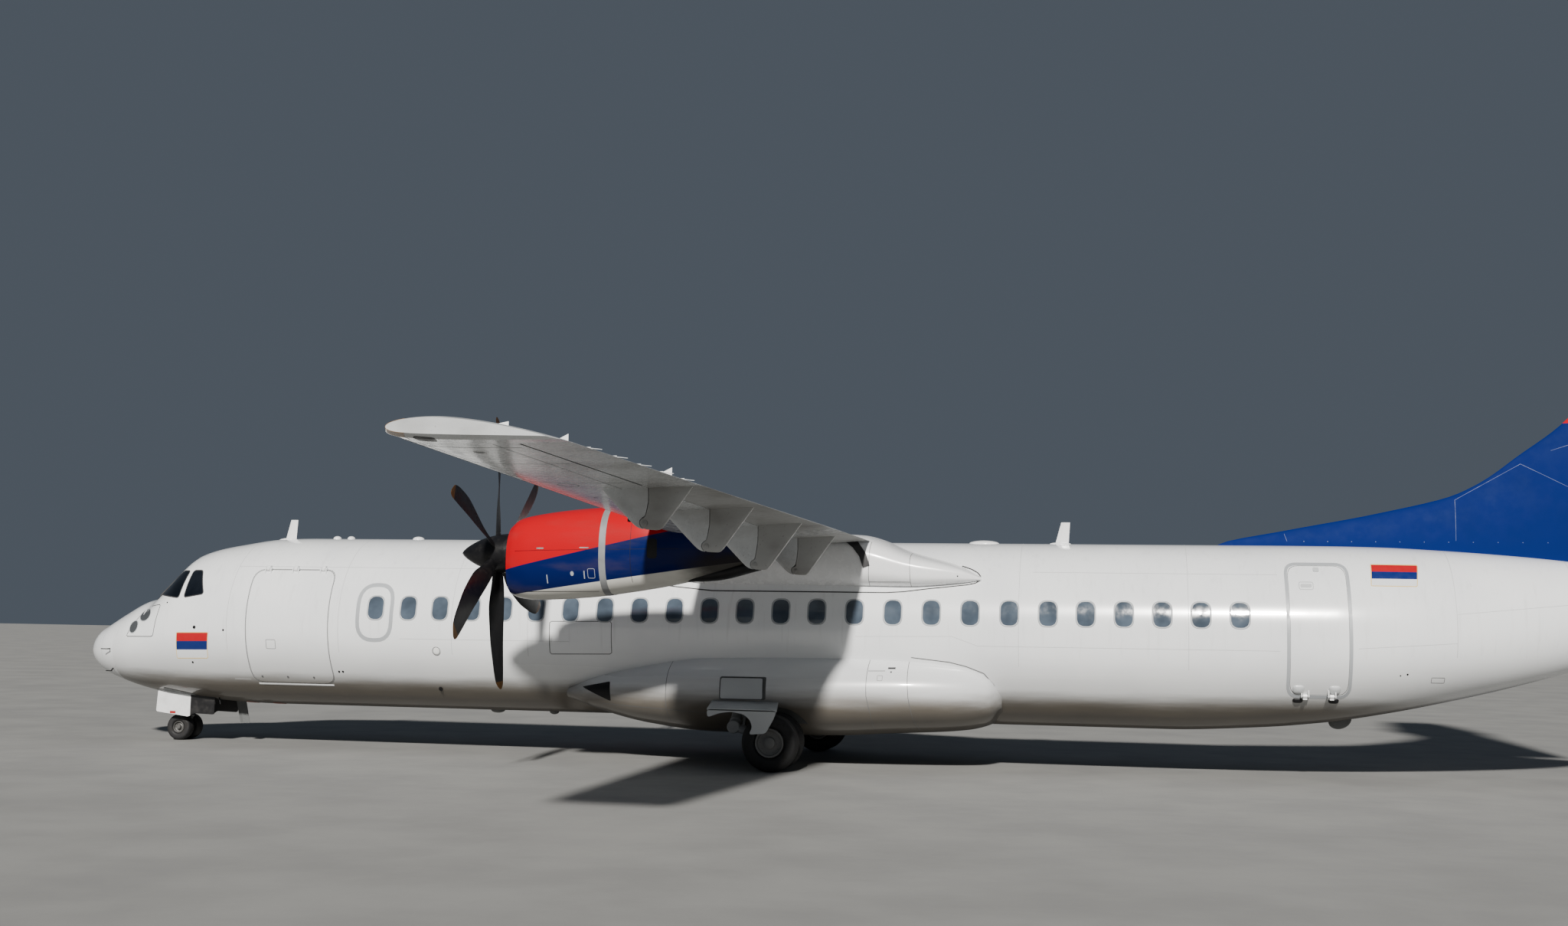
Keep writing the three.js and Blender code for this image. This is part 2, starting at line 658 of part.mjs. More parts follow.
place("radome", "radome", tubeSection(0, meet.radome - seam));
place("nose_section", "white", cut(tubeSection(meet.radome, meet.cockpit - seam),
  box(aft(noseBay.front), aft(noseBay.rear), -noseBay.half, noseBay.half, 0, noseBay.top),
  glazingBlock(seam).subtract(tubeSection(850, 3150, glazing.depth + seam))));
place("flight_deck_glazing", "glass", noseShell.intersect(glazingBlock(0)));

// Round pads for jacks, let into the skin above them
const jackPads = {
  nose: { station: 3400, y: 0, bottom: 645, rise: 60 },
  main: { station: 14200, y: -1250, bottom: 570, rise: 140 },
};
const jackPad = ({ station, y, bottom, rise }) => bar(
  [aft(station), y, bottom], [aft(station), y, bottom + rise], 60);

place("forward_fuselage", "white", cargoHinge.onSkin(cut(
  tubeSection(meet.cockpit, meet.forward - seam).add(jackPad(jackPads.nose)), hold,
  doorBlock(doors.cargo, doorGap.moving),
  doorRecess(doors.exitLeft, doorGap.plug), doorRecess(doors.exitRight, doorGap.plug))));
place("centre_fuselage", "white", cut(tubeSection(meet.forward, meet.centre - seam), bothWings));
place("rear_fuselage", "white", passengerHinge.onSkin(cut(tubeSection(meet.centre, meet.rear - seam),
  tubeSection(meet.centre - 10, meet.rear + 10, tube.wall),
  doorBlock(doors.passenger, doorGap.moving), doorBlock(doors.service, doorGap.plug))));

const onRudderHinge = (z) => [aft(lineAt(fin.hingeFoot, fin.hingeHead, z)), 0, z];
const rudderPinFoot = bar(onRudderHinge(3120), onRudderHinge(3400), rudderPin);
const rudderBore = boreBar(onRudderHinge(3100), onRudderHinge(3400), rudderPin);
place("tail_cone", "white", cut(tubeSection(meet.rear, 26350), rudderBore));

place("cargo_door", "white", cargoHinge.onDoor(doorPanel(doors.cargo)));
place("passenger_door", "white", passengerHinge.onDoor(doorPanel(doors.passenger)));
place("service_door", "white", doorPanel(doors.service));
place("emergency_exit_left", "white", doorPanel(doors.exitLeft));
place("emergency_exit_right", "white", doorPanel(doors.exitRight));

// Wing pieces, made to port and mirrored
const surfaces = Object.values(wingSurfaces);
const coves = surfaces.map((surface) => cove(wingRibs, surface, port, true));
const nacelle = loft(nacelleStations.map((row) => ovalRing([...row, port * propeller.y], 20, 0.85)));

const aileronPins = (reach, make) => [wingSurfaces.aileron.inner, wingSurfaces.aileron.outer].map(
  (y) => hingePin(wingRibs, wingSurfaces.aileron, y, reach, port, true, make));
const pods = Object.fromEntries(Object.entries(wingSurfaces).map(
  ([name, surface]) => [name, surface.pods.map((y) => flapPod(surface, y))]));
const onWing = (panel, ...names) => {
  const fronts = names.flatMap((name) => pods[name]);
  const spaces = names.map((name) => coves[Object.keys(wingSurfaces).indexOf(name)]);
  return cut(add(panel, ...fronts.map((part) => part.fixed)), ...spaces,
    ...fronts.map((part) => part.hole));
};

const armAt = turningFrame(wingRibs, wingSurfaces.flap_inboard, wingSurfaces.flap_inboard.inner, port, true);
const armPin = (reach, to, make) => make(armAt(0, -reach, 0), armAt(0, to, 0), flapArm.pin);
const armTop = wingSurfaces.flap_inboard.drop[0] - 25;
const innerArm = add(
  bar(armAt(0, flapArm.from, 0), armAt(0, flapArm.to, 0), flapArm.eye),
  across(armAt, [[-45, 0], [45, 0], [170, armTop], [10, armTop]], flapArm.from, flapArm.to),
  armPin(flapArm.reach, flapArm.from + 5, bar),
);

const wingMovers = Object.fromEntries(Object.entries(wingSurfaces).map(([name, surface]) => [
  name, add(movingSurface(wingRibs, surface, port, true), ...pods[name].map((part) => part.moving))]));
wingMovers.flap_inboard = wingMovers.flap_inboard.add(innerArm);
wingMovers.aileron = add(wingMovers.aileron, ...aileronPins(40, bar));

const outerWing = cut(onWing(wingPanel(wing.centreEnd, wing.tipStart - seam, port),
  "flap_outboard", "aileron"), ...aileronPins(50, boreBar));
const centreHalf = onWing(wingPanel(0, wing.centreEnd - seam, port), "flap_inboard");
place("wing_centre", "white", centreHalf.add(mirrored(centreHalf)));
placePair("wing", "white", outerWing);
placePair("wing_tip", "white", wingPanel(wing.tipStart, span / 2, port));
Object.entries(wingMovers).forEach(([name, solid]) => placePair(name, "white", solid));

// Fairings round the wing root and the landing gear
const tubeClear = tubeSection(8000, 17500, -seam);
const rootFairing = loft(fairingStations.map((row) => ovalRing([...row, 0], 28, 0.6)));
const armBore = armPin(flapArm.reach + 2, 0, boreBar);
place("wing_root_fairing", "white", cut(rootFairing, tubeClear, bothWings, armBore, mirrored(armBore)));

const wheelWell = (side) => bar([aft(mainGear.station), side * 1560, mainGear.tyreDiameter / 2],
  [aft(mainGear.station), side * 2700, mainGear.tyreDiameter / 2], mainGear.tyreDiameter / 2 + 70);
const gearFairing = cut(loft(sponsonStations.map((row) => ovalRing([...row, 0], 28, 0.8))), tubeClear,
  wheelWell(-1), wheelWell(1));
const beyond = 3000;
const centreSlab = box(aft(8000), aft(17500), -bellyHalf, bellyHalf, 0, beyond);
const portSlab = box(aft(8000), aft(17500), -beyond, -bellyHalf - seam, 0, beyond);
place("belly_fairing", "white", gearFairing.intersect(centreSlab));

// Main landing gear, made to port: a leg, a trailing arm and a twin wheel
const wheel = { x: aft(mainGear.station), y: -mainGear.y, z: mainGear.tyreDiameter / 2 };
const leg = { x: aft(12170), topY: -1580, topZ: 1050, radius: 78 };
const axleRadius = 48;
const legKnee = [leg.x, wheel.y, 640];
const armEnd = [wheel.x, wheel.y, wheel.z];
const shock = { foot: [leg.x + 140, wheel.y, 600], head: [leg.x + 110, -1640, 1030], radius: 46 };
const crossBar = (x, z, half, radius) => bar([x, wheel.y - half, z], [x, wheel.y + half, z], radius);
const legTop = [leg.x, leg.topY, leg.topZ];
const mainLeg = cut(add(
  bar(legTop, legKnee, leg.radius),
  crossBar(leg.x, legKnee[2], 62, 100),
  bar(legKnee, armEnd, 60),
  crossBar(wheel.x, wheel.z, 62, 92),
  bar(shock.foot, shock.head, shock.radius),
), boreBar([wheel.x, wheel.y - 90, wheel.z], [wheel.x, wheel.y + 90, wheel.z], axleRadius));
const legPocket = add(
  boreBar([leg.x, leg.topY + 1, leg.topZ + 1], legKnee, leg.radius),
  boreBar(shock.foot, [shock.head[0], shock.head[1] + 1, shock.head[2] + 1], shock.radius),
);
placePair("gear_sponson", "white", cut(gearFairing.intersect(portSlab), legPocket)
  .add(jackPad(jackPads.main)));
placePair("main_gear_leg", "grey", mainLeg);

// Tyre, and the twin hub with its axle: [radius, offset] from the middle of the tyre or axle
function tyreProfile(diameter, width, rim) {
  const [outer, half] = [diameter / 2, width / 2];
  return [
    [rim, -half * 0.75], [outer * 0.8, -half], [outer * 0.95, -half * 0.85], [outer, -half * 0.45],
    [outer, half * 0.45], [outer * 0.95, half * 0.85], [outer * 0.8, half], [rim, half * 0.75],
    [rim, -half * 0.75],
  ];
}

function hubProfile(rim, width, twin, axle) {
  const [inner, outer] = [twin / 2 - width * 0.4, twin / 2 + width * 0.4];
  const right = [
    [axle, inner + width * 0.3], [rim * 0.9, inner], [rim, inner],
    [rim, outer], [rim * 0.86, outer], [rim * 0.6, outer - width * 0.22], [0, outer - width * 0.1],
  ];
  const left = right.map(([radius, offset]) => [radius, -offset]).reverse();
  return [...left, ...right];
}

function placeTwinWheel(name, gear, rim, axle, y) {
  const [x, z] = [aft(gear.station), gear.tyreDiameter / 2];
  place(`${name}_hub`, "steel", turned(hubProfile(rim - seam, gear.tyreWidth, gear.twin, axle), x, y, z));
  const profile = tyreProfile(gear.tyreDiameter, gear.tyreWidth, rim);
  [["port", -1], ["starboard", 1]].forEach(([where, way]) => {
    place(`${name}_tyre_${where}`, "tyre", turned(profile, x, y + way * gear.twin / 2, z));
  });
}

placeTwinWheel("main_wheel_left", mainGear, 215, axleRadius, -mainGear.y);
placeTwinWheel("main_wheel_right", mainGear, 215, axleRadius, mainGear.y);

// Door of the main gear: a shelf out from the fairing over the wheel, and a leaf that hangs from
// the shelf's edge with an arch in front of its foot. Columns of the leaf are station and z.
const gearShelf = [[11757, -1780, 1015], [12793, -1780, 1015], [12906, -2458, 926], [11841, -2458, 926]];
const gearLeaf = [
  [11841, 915], [12903, 915], [12852, 780], [12740, 575], [12484, 556], [12540, 659], [12503, 771],
  [12408, 850], [12208, 886], [12032, 860], [11846, 792],
];
const gearDoor = add(
  loft([0, 24].map((thick) => gearShelf.map(([x, y, z]) => [aft(x), y, z - thick]))),
  loft([-2430, -2458].map((y) => gearLeaf.map(([x, z]) => [aft(x), y, z]))),
);
const sponsonClear = loft(sponsonStations.map((row) => ovalRing([...row, 0], 28, 0.8, seam)));
placePair("main_gear_door", "white", gearDoor.subtract(sponsonClear));

// Nose landing gear: a fixed leg, and a fork that turns in it and carries the twin wheel
const noseWheel = { x: aft(noseGear.station), z: noseGear.tyreDiameter / 2 };
const noseAxle = 30;
const stem = { radius: 42, top: 780 };
place("nose_gear_leg", "grey", cut(add(
  bar([noseWheel.x, 0, 620], [noseWheel.x, 0, noseBay.top - seam], 72),
  bar([noseWheel.x + 30, 0, 700], [aft(noseBay.rear) - 45, 0, noseBay.top - 80], 34),
  box(aft(noseBay.rear) - 90, aft(noseBay.rear) - seam, -60, 60, noseBay.top - 150, noseBay.top - 20),
), boreBar([noseWheel.x, 0, 500], [noseWheel.x, 0, stem.top + 10], stem.radius)));
place("nose_gear_fork", "grey", cut(add(
  bar([noseWheel.x, 0, noseWheel.z], [noseWheel.x, 0, stem.top], stem.radius),
  bar([noseWheel.x, 0, 540], [noseWheel.x, 0, 605], 64),
  bar([noseWheel.x, -45, noseWheel.z], [noseWheel.x, 45, noseWheel.z], 62),
  box(noseWheel.x + 20, noseWheel.x + 150, -18, 18, 400, 440),
  box(noseWheel.x - 245, noseWheel.x - 30, -28, 28, noseWheel.z - 25, noseWheel.z + 25),
), boreBar([noseWheel.x, -80, noseWheel.z], [noseWheel.x, 80, noseWheel.z], noseAxle)));
placeTwinWheel("nose_wheel", noseGear, 98, noseAxle, 0);

const noseDoor = loft([0, 24].map((thick) => [
  [1500, 1000], [2580, 900], [2570, 468], [2174, 480], [2090, 422], [1467, 498],
].map(([x, z]) => [aft(x), -noseBay.half - 15 - thick, z])));
const noseRegion = tubeSection(meet.radome - 200, meet.cockpit + 200, -seam);
placePair("nose_gear_door", "white", noseDoor.subtract(noseRegion));

// Nacelles, engines and propellers
const engineBlock = (open, grow) => box(aft(engine.front) - open, aft(engine.rear) + grow,
  -propeller.y - engine.half - grow, -propeller.y + engine.half + grow,
  engine.bottom - grow, engine.top + grow);
// Exhaust: an oval pipe low in the rear of the nacelle, open at its end
const exhaustStations = [[11900, 2905, 2770, 180], [12300, 2965, 2790, 190], [12960, 3110, 2945, 170]];
const exhaustPipe = (grow) => loft(exhaustStations.map(
  (row) => ovalRing([...row, -propeller.y], 16, 0.8, grow)));
const exhaustEnd = box(aft(12560), aft(13100), -propeller.y - 400, -propeller.y + 400, 2600, 3300);
const exhaust = exhaustPipe(0).subtract(exhaustPipe(-14).intersect(exhaustEnd));
const shaftRadius = 60;
const shaftLine = (from, to, make) => make([aft(from), -propeller.y, propeller.z],
  [aft(to), -propeller.y, propeller.z], shaftRadius);
const intake = loft([[9150, 240], [9750, 180]].map(
  ([x, half]) => ovalRing([x, 2790, 2590, half, -propeller.y], 20)));
placePair("nacelle", "red", cut(nacelle.add(exhaust), bothWings, wingPanel(4400, 6000, port, seam),
  engineBlock(300, seam), intake, coves[0], coves[1]));
placePair("engine", "steel", cut(engineBlock(0, 0), shaftLine(9400, 9600, boreBar)));

const spinner = { tip: 8530, base: 9320, radius: 285 };
function spinnerSolid() {
  const long = spinner.base - spinner.tip;
  const profile = [0, 0.08, 0.2, 0.38, 0.6, 0.8, 1].map((share) => [
    spinner.radius * Math.sin((Math.PI / 2) * share ** 0.75), share * long]);
  const geometry = new THREE.LatheGeometry(
    [...profile, [0, long]].map(([radius, along]) => new THREE.Vector2(radius, along)), 20);
  geometry.rotateZ(-Math.PI / 2);
  geometry.translate(aft(spinner.tip), -propeller.y, propeller.z);
  return fromGeometry(geometry);
}

// Blade: columns are distance from the hub, chord, thickness, pitch in degrees and sweep aft
const bladeStations = [
  [230, 150, 110, 43, 0],
  [420, 200, 70, 38, 0],
  [800, 300, 38, 25, -20],
  [1200, 320, 26, 15, -10],
  [1600, 290, 17, 9, 40],
  [1860, 225, 11, 6, 95],
  [propeller.diameter / 2, 100, 7, 4, 150],
];

function blade(turn) {
  return loft(bladeStations.map(([reach, chord, thick, pitch, sweep]) => {
    const angle = degrees(pitch);
    return [[-0.5, 0], [-0.2, 0.5], [0.5, 0.06], [0.5, -0.06], [-0.2, -0.5]].map(
      ([along, up]) => {
        const edge = along * chord + sweep;
        const [x, across] = [
          edge * Math.sin(angle) + up * thick * Math.cos(angle),
          edge * Math.cos(angle) - up * thick * Math.sin(angle),
        ];
        const [s, c] = [Math.sin(turn), Math.cos(turn)];
        return [aft(propeller.station) + x - 40, -propeller.y + reach * c - across * s,
          propeller.z + reach * s + across * c];
      },
    );
  }));
}

const bladePhase = degrees(3);
const bladeTurns = Array.from({ length: propeller.blades }, (_, i) =>
  Math.PI / 2 + bladePhase + (i * 2 * Math.PI) / propeller.blades);
const portPropeller = add(spinnerSolid(), shaftLine(spinner.base - 50, 9599, bar), ...bladeTurns.map(blade));
place("propeller_left", "black", portPropeller);
place("propeller_right", "black", portPropeller.translate([0, 2 * propeller.y, 0]));

// Tail
const rudderTop = rudder.head[1];
const rudderHeadHole = boreBar(onRudderHinge(rudderTop - 40), onRudderHinge(rudderTop + 110), rudderPin);
place("fin", "navy", cut(loft(finEdge.map((row) => finRing(row[0]))), tubeSection(18000, 26350, -seam),
  tailBullet(seam), box(aft(25000), aft(27000), -400, 400, 3000, 3330), rudderHeadHole));
place("rudder", "navy", add(loft([3345, 5200, rudderTop].map(rudderRing)), rudderPinFoot,
  bar(onRudderHinge(rudderTop - 60), onRudderHinge(rudderTop + 100), rudderPin)));

const elevatorCove = (side) => cove(tailplaneRibs, { ...elevator, outer: 3700 }, side, false);
const elevatorPin = (side, reach, make) => hingePin(
  tailplaneRibs, elevator, elevator.inner, reach, side, false, make);
place("tailplane", "red", cut(add(tailBullet(), tailplanePanel(-1), tailplanePanel(1)),
  elevatorCove(-1), elevatorCove(1), elevatorPin(-1, 70, boreBar), elevatorPin(1, 70, boreBar),
  rudderHeadHole));
placePair("elevator", "red", add(movingSurface(tailplaneRibs, { ...elevator, outer: 3640 }, port, false),
  elevatorPin(-1, 60, bar)));

// Aerials on the roof and under the belly: columns are station of the foot, its z, top z,
// chord at the foot, lean aft, and the share of the chord lost at the tip
const aerials = {
  aerial_roof_front: [3560, 3505, 3860, 200, 90, 0.35],
  aerial_roof_rear: [16900, 3533, 3880, 210, 95, 0.35],
  aerial_belly: [2760, 690, 322, 190, 95, 0.06],
};
Object.entries(aerials).forEach(([name, [station, foot, tip, chord, lean, loss]]) => {
  const way = Math.sign(tip - foot);
  const level = (z, share) => [
    [0, 0], [0.35, 12], [1, 3], [1, -3], [0.35, -12],
  ].map(([along, y]) => [aft(station) + lean * share + along * chord * (1 - loss * share), y, z]);
  place(name, "white", loft([level(foot - way * 40, -0.1), level(tip, 1)]).subtract(
    tubeSection(meet.radome, meet.rear, -seam)));
});

export default aircraft;
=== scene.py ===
import math
import bpy
import numpy as np
from mathutils import Matrix


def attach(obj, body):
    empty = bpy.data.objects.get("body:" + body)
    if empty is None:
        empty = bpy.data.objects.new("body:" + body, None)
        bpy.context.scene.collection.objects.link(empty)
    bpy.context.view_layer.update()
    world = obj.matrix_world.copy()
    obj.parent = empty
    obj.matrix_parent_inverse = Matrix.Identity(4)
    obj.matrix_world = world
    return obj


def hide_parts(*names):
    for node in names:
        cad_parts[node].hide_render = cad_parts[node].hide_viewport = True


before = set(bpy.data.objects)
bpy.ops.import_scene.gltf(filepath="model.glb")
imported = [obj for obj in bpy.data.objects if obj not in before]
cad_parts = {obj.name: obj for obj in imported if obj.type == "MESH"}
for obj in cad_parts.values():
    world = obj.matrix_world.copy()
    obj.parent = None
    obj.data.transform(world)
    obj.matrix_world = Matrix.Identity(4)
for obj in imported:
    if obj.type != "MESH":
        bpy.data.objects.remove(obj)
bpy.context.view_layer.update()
print("frame loaded")

# Every shape is worked out in stations, which are metres aft of the nose, and newMesh moves it
# into the frame, where x = 0 is halfway along
halfLength = 13.583
gap = 0.008  # between a moving surface and what carries it
sunk = 0.004  # how deep the foot of a strip or a plate goes under the skin


# Shapes: points, quads and other faces, always closed

def smoothTable(rows):
    # A smooth curve through every column of a table, against its first column: a cubic between
    # rows whose slopes are the weighted harmonic mean of the two sides, so it never overshoots.
    rows = np.array(rows, float)
    places, values = rows[:, 0], rows[:, 1:]
    steps = np.diff(places)[:, None]
    slopes = np.diff(values, axis=0) / steps
    before, after = slopes[:-1], slopes[1:]
    same = before * after > 0
    weightA, weightB = 2 * steps[1:] + steps[:-1], steps[1:] + 2 * steps[:-1]
    mean = weightA / np.where(same, before, 1) + weightB / np.where(same, after, 1)
    inner = np.where(same, (weightA + weightB) / np.where(same, mean, 1), 0)
    tangents = np.vstack([slopes[:1], inner, slopes[-1:]])

    def at(place):
        place = np.clip(np.asarray(place, float), places[0], places[-1])
        i = np.clip(np.searchsorted(places, place, side="right") - 1, 0, len(places) - 2)
        h = steps[i]
        t = ((place - places[i]) / h[..., 0])[..., None]
        return (values[i] * (1 + 2 * t) * (1 - t) ** 2 + tangents[i] * h * t * (1 - t) ** 2
                + values[i + 1] * t ** 2 * (3 - 2 * t) + tangents[i + 1] * h * t ** 2 * (t - 1))
    return at


def outward(points, quads, caps):
    # Turns the faces round when the enclosed volume comes out negative
    fans = [(cap[0], cap[i], cap[i + 1]) for cap in caps for i in range(1, len(cap) - 1)]
    triangles = np.vstack([quads[:, [0, 1, 2]], quads[:, [0, 2, 3]],
                           np.array(fans, int).reshape(-1, 3)])
    a, b, c = (points[triangles[:, k]] for k in range(3))
    if np.einsum("ij,ij->i", a - points[0], np.cross(b - points[0], c - points[0])).sum() < 0:
        return points, quads[:, ::-1], [cap[::-1] for cap in caps]
    return points, quads, caps


def skinned(grid, looped=False, poles=False):
    # A closed skin over rows of points: each row is a ring, and the rows either join up in a
    # loop, end in flat faces, or end in a point at the middle of the last ring.
    rows, columns = grid.shape[:2]
    index = np.arange(rows * columns).reshape(rows, columns)
    index = np.hstack([index, index[:, :1]])
    if looped:
        index = np.vstack([index, index[:1]])
    quads = np.stack([index[:-1, :-1], index[:-1, 1:], index[1:, 1:], index[1:, :-1]], -1)
    quads, points, caps = quads.reshape(-1, 4), grid.reshape(-1, 3), []
    if not looped and poles:
        points = np.vstack([points, grid[0].mean(0), grid[-1].mean(0)])
        near = np.stack([index[0, 1:], index[0, :-1], np.full(columns, rows * columns)], -1)
        far = np.stack([index[-1, :-1], index[-1, 1:], np.full(columns, rows * columns + 1)], -1)
        caps = near.tolist() + far.tolist()
    elif not looped:
        caps = [index[0, :-1][::-1].tolist(), index[-1, :-1].tolist()]
    return outward(points, quads, caps)


def joined(*shapes):
    # Several shapes as one: the faces of each count on from the points before it
    first, points, quads, caps = 0, [], [], []
    for p, q, c in shapes:
        points.append(p)
        quads.append(q + first)
        caps += [[i + first for i in cap] for cap in c]
        first += len(p)
    return np.vstack(points), np.vstack(quads), caps


def mirrored(shape):
    # y changes its sign, and the faces turn round with it
    points, quads, caps = shape
    return points * [1, -1, 1], quads[:, ::-1], [cap[::-1] for cap in caps]


def bothSides(shape):
    return joined(shape, mirrored(shape))


def moved(shape, by):
    return shape[0] + np.array(by, float), shape[1], shape[2]


def frameAlong(direction):
    # Two unit vectors square to a direction and to each other
    d = np.array(direction, float) / np.linalg.norm(direction)
    helper = np.array([0, 0, 1.0]) if abs(d[2]) < 0.8 else np.array([0, 1.0, 0])
    u = np.cross(d, helper)
    u /= np.linalg.norm(u)
    return d, u, np.cross(d, u)


def roundAngles(count):
    return np.arange(count) / count * 2 * math.pi


def signedPower(value, power):
    # Under one, the power squares up the circle that the value comes from
    return np.sign(value) * np.abs(value) ** power


def reachAlong(line):
    # The distance walked at each point of a line
    return np.concatenate([[0], np.cumsum(np.linalg.norm(np.diff(line, axis=0), axis=1))])


def carriedRound(profile, start, direction, sides):
    # Rings of a profile of (radius, distance) pairs round the line from start
    radius, along = np.array(profile, float).T
    d, u, v = frameAlong(direction)
    angle = roundAngles(sides)
    circle = np.cos(angle)[:, None] * u + np.sin(angle)[:, None] * v
    return np.array(start, float) + along[:, None, None] * d + radius[:, None, None] * circle


def turned(profile, start, direction, sides=48):
    # A closed surface of revolution
    return skinned(carriedRound(profile, start, direction, sides), poles=True)


def rod(start, end, radius, edge=0.003, sides=24):
    # A round bar with softened ends
    start, end = np.array(start, float), np.array(end, float)
    length = np.linalg.norm(end - start)
    edge = min(edge, radius * 0.4, length * 0.3)
    profile = [(radius - edge, 0), (radius, edge), (radius, length - edge), (radius - edge, length)]
    return turned(profile, start, end - start, sides)


def collar(start, end, outer, inner, sides=32):
    # A short tube with flat ends
    length = math.dist(start, end)
    profile = [(inner, 0), (outer, 0), (outer, length), (inner, length)]
    return skinned(carriedRound(profile, start, np.subtract(end, start), sides), looped=True)


def piped(path, radius, sides=10, rows=24):
    # A round hose carried along a smooth line through a few points
    path = np.array(path, float)
    reach = reachAlong(path)
    line = smoothTable(np.column_stack([reach, path]))(np.linspace(0, reach[-1], rows))
    run = np.gradient(line, axis=0)
    run /= np.linalg.norm(run, axis=1)[:, None]
    helper = np.where(np.abs(run[:, 2:]) < 0.9, [[0, 0, 1.0]], [[0, 1.0, 0]])
    u = np.cross(run, helper)
    u /= np.linalg.norm(u, axis=1)[:, None]
    v = np.cross(run, u)
    angle = roundAngles(sides)[:, None]
    circles = np.cos(angle) * u[:, None] + np.sin(angle) * v[:, None]
    return skinned(line[:, None] + radius * circles)


def block(low, high, edge=0.004):
    # A brick with its upright corners and its top and bottom rims softened
    (x0, y0, z0), (x1, y1, z1) = low, high
    edge = min(edge, (x1 - x0) * 0.3, (y1 - y0) * 0.3, (z1 - z0) * 0.3)
    rows = []
    for z, inset in ((z0, edge), (z0 + edge, 0), (z1 - edge, 0), (z1, edge)):
        a, b, c, d = x0 + inset, x1 - inset, y0 + inset, y1 - inset
        rows.append([(a + edge, c, z), (b - edge, c, z), (b, c + edge, z), (b, d - edge, z),
                     (b - edge, d, z), (a + edge, d, z), (a, d - edge, z), (a, c + edge, z)])
    return skinned(np.array(rows))


def slab(corners, across):
    # A flat board: a closed line of points, and the same line moved across by its thickness
    ring = np.array(corners, float)
    return skinned(np.array([ring, ring + across]))


def uprightBoard(outline, y, thick):
    # A slab in a plane along the aircraft, from an outline of (station, height)
    return slab(np.column_stack([outline[:, 0], np.full(len(outline), y), outline[:, 1]]),
                (0, thick, 0))


# Outlines: closed lines of (u, v) on some surface

def evenly(line, count, endpoint=True):
    # Evenly spaced points along a line through a few corners
    line = np.array(line, float)
    reach = reachAlong(line)
    places = np.linspace(0, reach[-1], count, endpoint=endpoint)
    return np.column_stack([np.interp(places, reach, line[:, k]) for k in range(2)])


def polygon(corners, radius=0.02, count=72):
    # Corners rounded by a parabola that starts and ends a radius away from them
    corners = np.array(corners, float)
    back, ahead = np.roll(corners, 1, 0) - corners, np.roll(corners, -1, 0) - corners
    near = [np.minimum(radius / np.linalg.norm(side, axis=1), 0.45)[:, None] * side
            for side in (back, ahead)]
    t = np.linspace(0, 1, 7)[None, :, None]
    arcs = corners[:, None] + (1 - t) ** 2 * near[0][:, None] + t ** 2 * near[1][:, None]
    outline = arcs.reshape(-1, 2)
    return evenly(np.vstack([outline, outline[:1]]), count, endpoint=False)


def rectangle(u0, u1, v0, v1, radius=0.02, count=72):
    return polygon([(u0, v0), (u1, v0), (u1, v1), (u0, v1)], radius, count)


def oval(u, v, radiusU, radiusV, count=40):
    # Each radius by the cosine or the sine of the angle round
    angle = roundAngles(count)
    return np.column_stack([u + radiusU * np.cos(angle), v + radiusV * np.sin(angle)])


def plate(surface, outline, height=0.002, depth=sunk, rings=5):
    # A panel that follows the surface inside an outline: rings from the middle out to the
    # outline at one height, then back again at the depth below the skin
    middle = outline.mean(0)
    shares = np.linspace(0.04, 1, rings)
    uv = middle + (outline - middle) * shares[:, None, None]
    top, under = surface(uv, height), surface(uv[::-1], -depth)
    return skinned(np.concatenate([top, under]), poles=True)


def trim(surface, outline, profile, closed=True):
    # A profile of (sideways, height) pairs carried along a line on the surface
    ahead = np.roll(outline, -1, 0) - np.roll(outline, 1, 0)
    if not closed:
        ahead[0], ahead[-1] = outline[1] - outline[0], outline[-1] - outline[-2]
    side = np.column_stack([ahead[:, 1], -ahead[:, 0]]) / np.linalg.norm(ahead, axis=1)[:, None]
    sideways, height = np.array(profile, float).T
    uv = outline[:, None] + side[:, None] * sideways[None, :, None]
    return skinned(surface(uv, np.broadcast_to(height, uv.shape[:2])), looped=closed)


def flatStrip(width, height=0.0012):
    return [(-width / 2, -sunk), (-width / 2, height), (width / 2, height), (width / 2, -sunk)]


def beadStrip(width, height, steps=6):
    # Half a round bead with its foot under the skin
    angle = np.linspace(math.pi, 0, steps + 1)
    arch = [(width / 2 * math.cos(a), height * math.sin(a)) for a in angle]
    return [(-width / 2, -sunk)] + arch + [(width / 2, -sunk)]


def seam(surface, points, width=0.012, height=0.0012, count=40):
    # A flat strip along a few corners
    return trim(surface, evenly(points, count), flatStrip(width, height), closed=False)


def border(surface, outline, width=0.012, height=0.0012):
    return trim(surface, outline, flatStrip(width, height))


def blister(surface, outline, height, rings=9):
    # A low dome inside an outline: its height times the root of one less the share squared
    middle = outline.mean(0)
    shares = np.sin(np.linspace(0.06, 1, rings) * math.pi / 2)
    uv = middle + (outline - middle) * shares[:, None, None]
    heights = height * np.sqrt(1 - shares ** 2)[:, None] * np.ones(len(outline))
    return skinned(np.concatenate([surface(uv, heights), surface(uv[::-1], -1.5 * sunk)]), poles=True)


# Pieces: a shape, the name of its finish, and the body that it rides

finishes = {}


def smoothed(mesh):
    mesh.shade_smooth()
    mesh.set_sharp_from_angle(angle=math.radians(34))


def newMesh(name, shape, finish):
    points, quads, caps = shape
    mesh = bpy.data.meshes.new(name)
    mesh.from_pydata((points - [halfLength, 0, 0]).tolist(), [], quads.tolist() + caps)
    mesh.materials.append(finishes[finish])
    smoothed(mesh)
    thing = bpy.data.objects.new(name, mesh)
    bpy.context.scene.collection.objects.link(thing)
    return thing


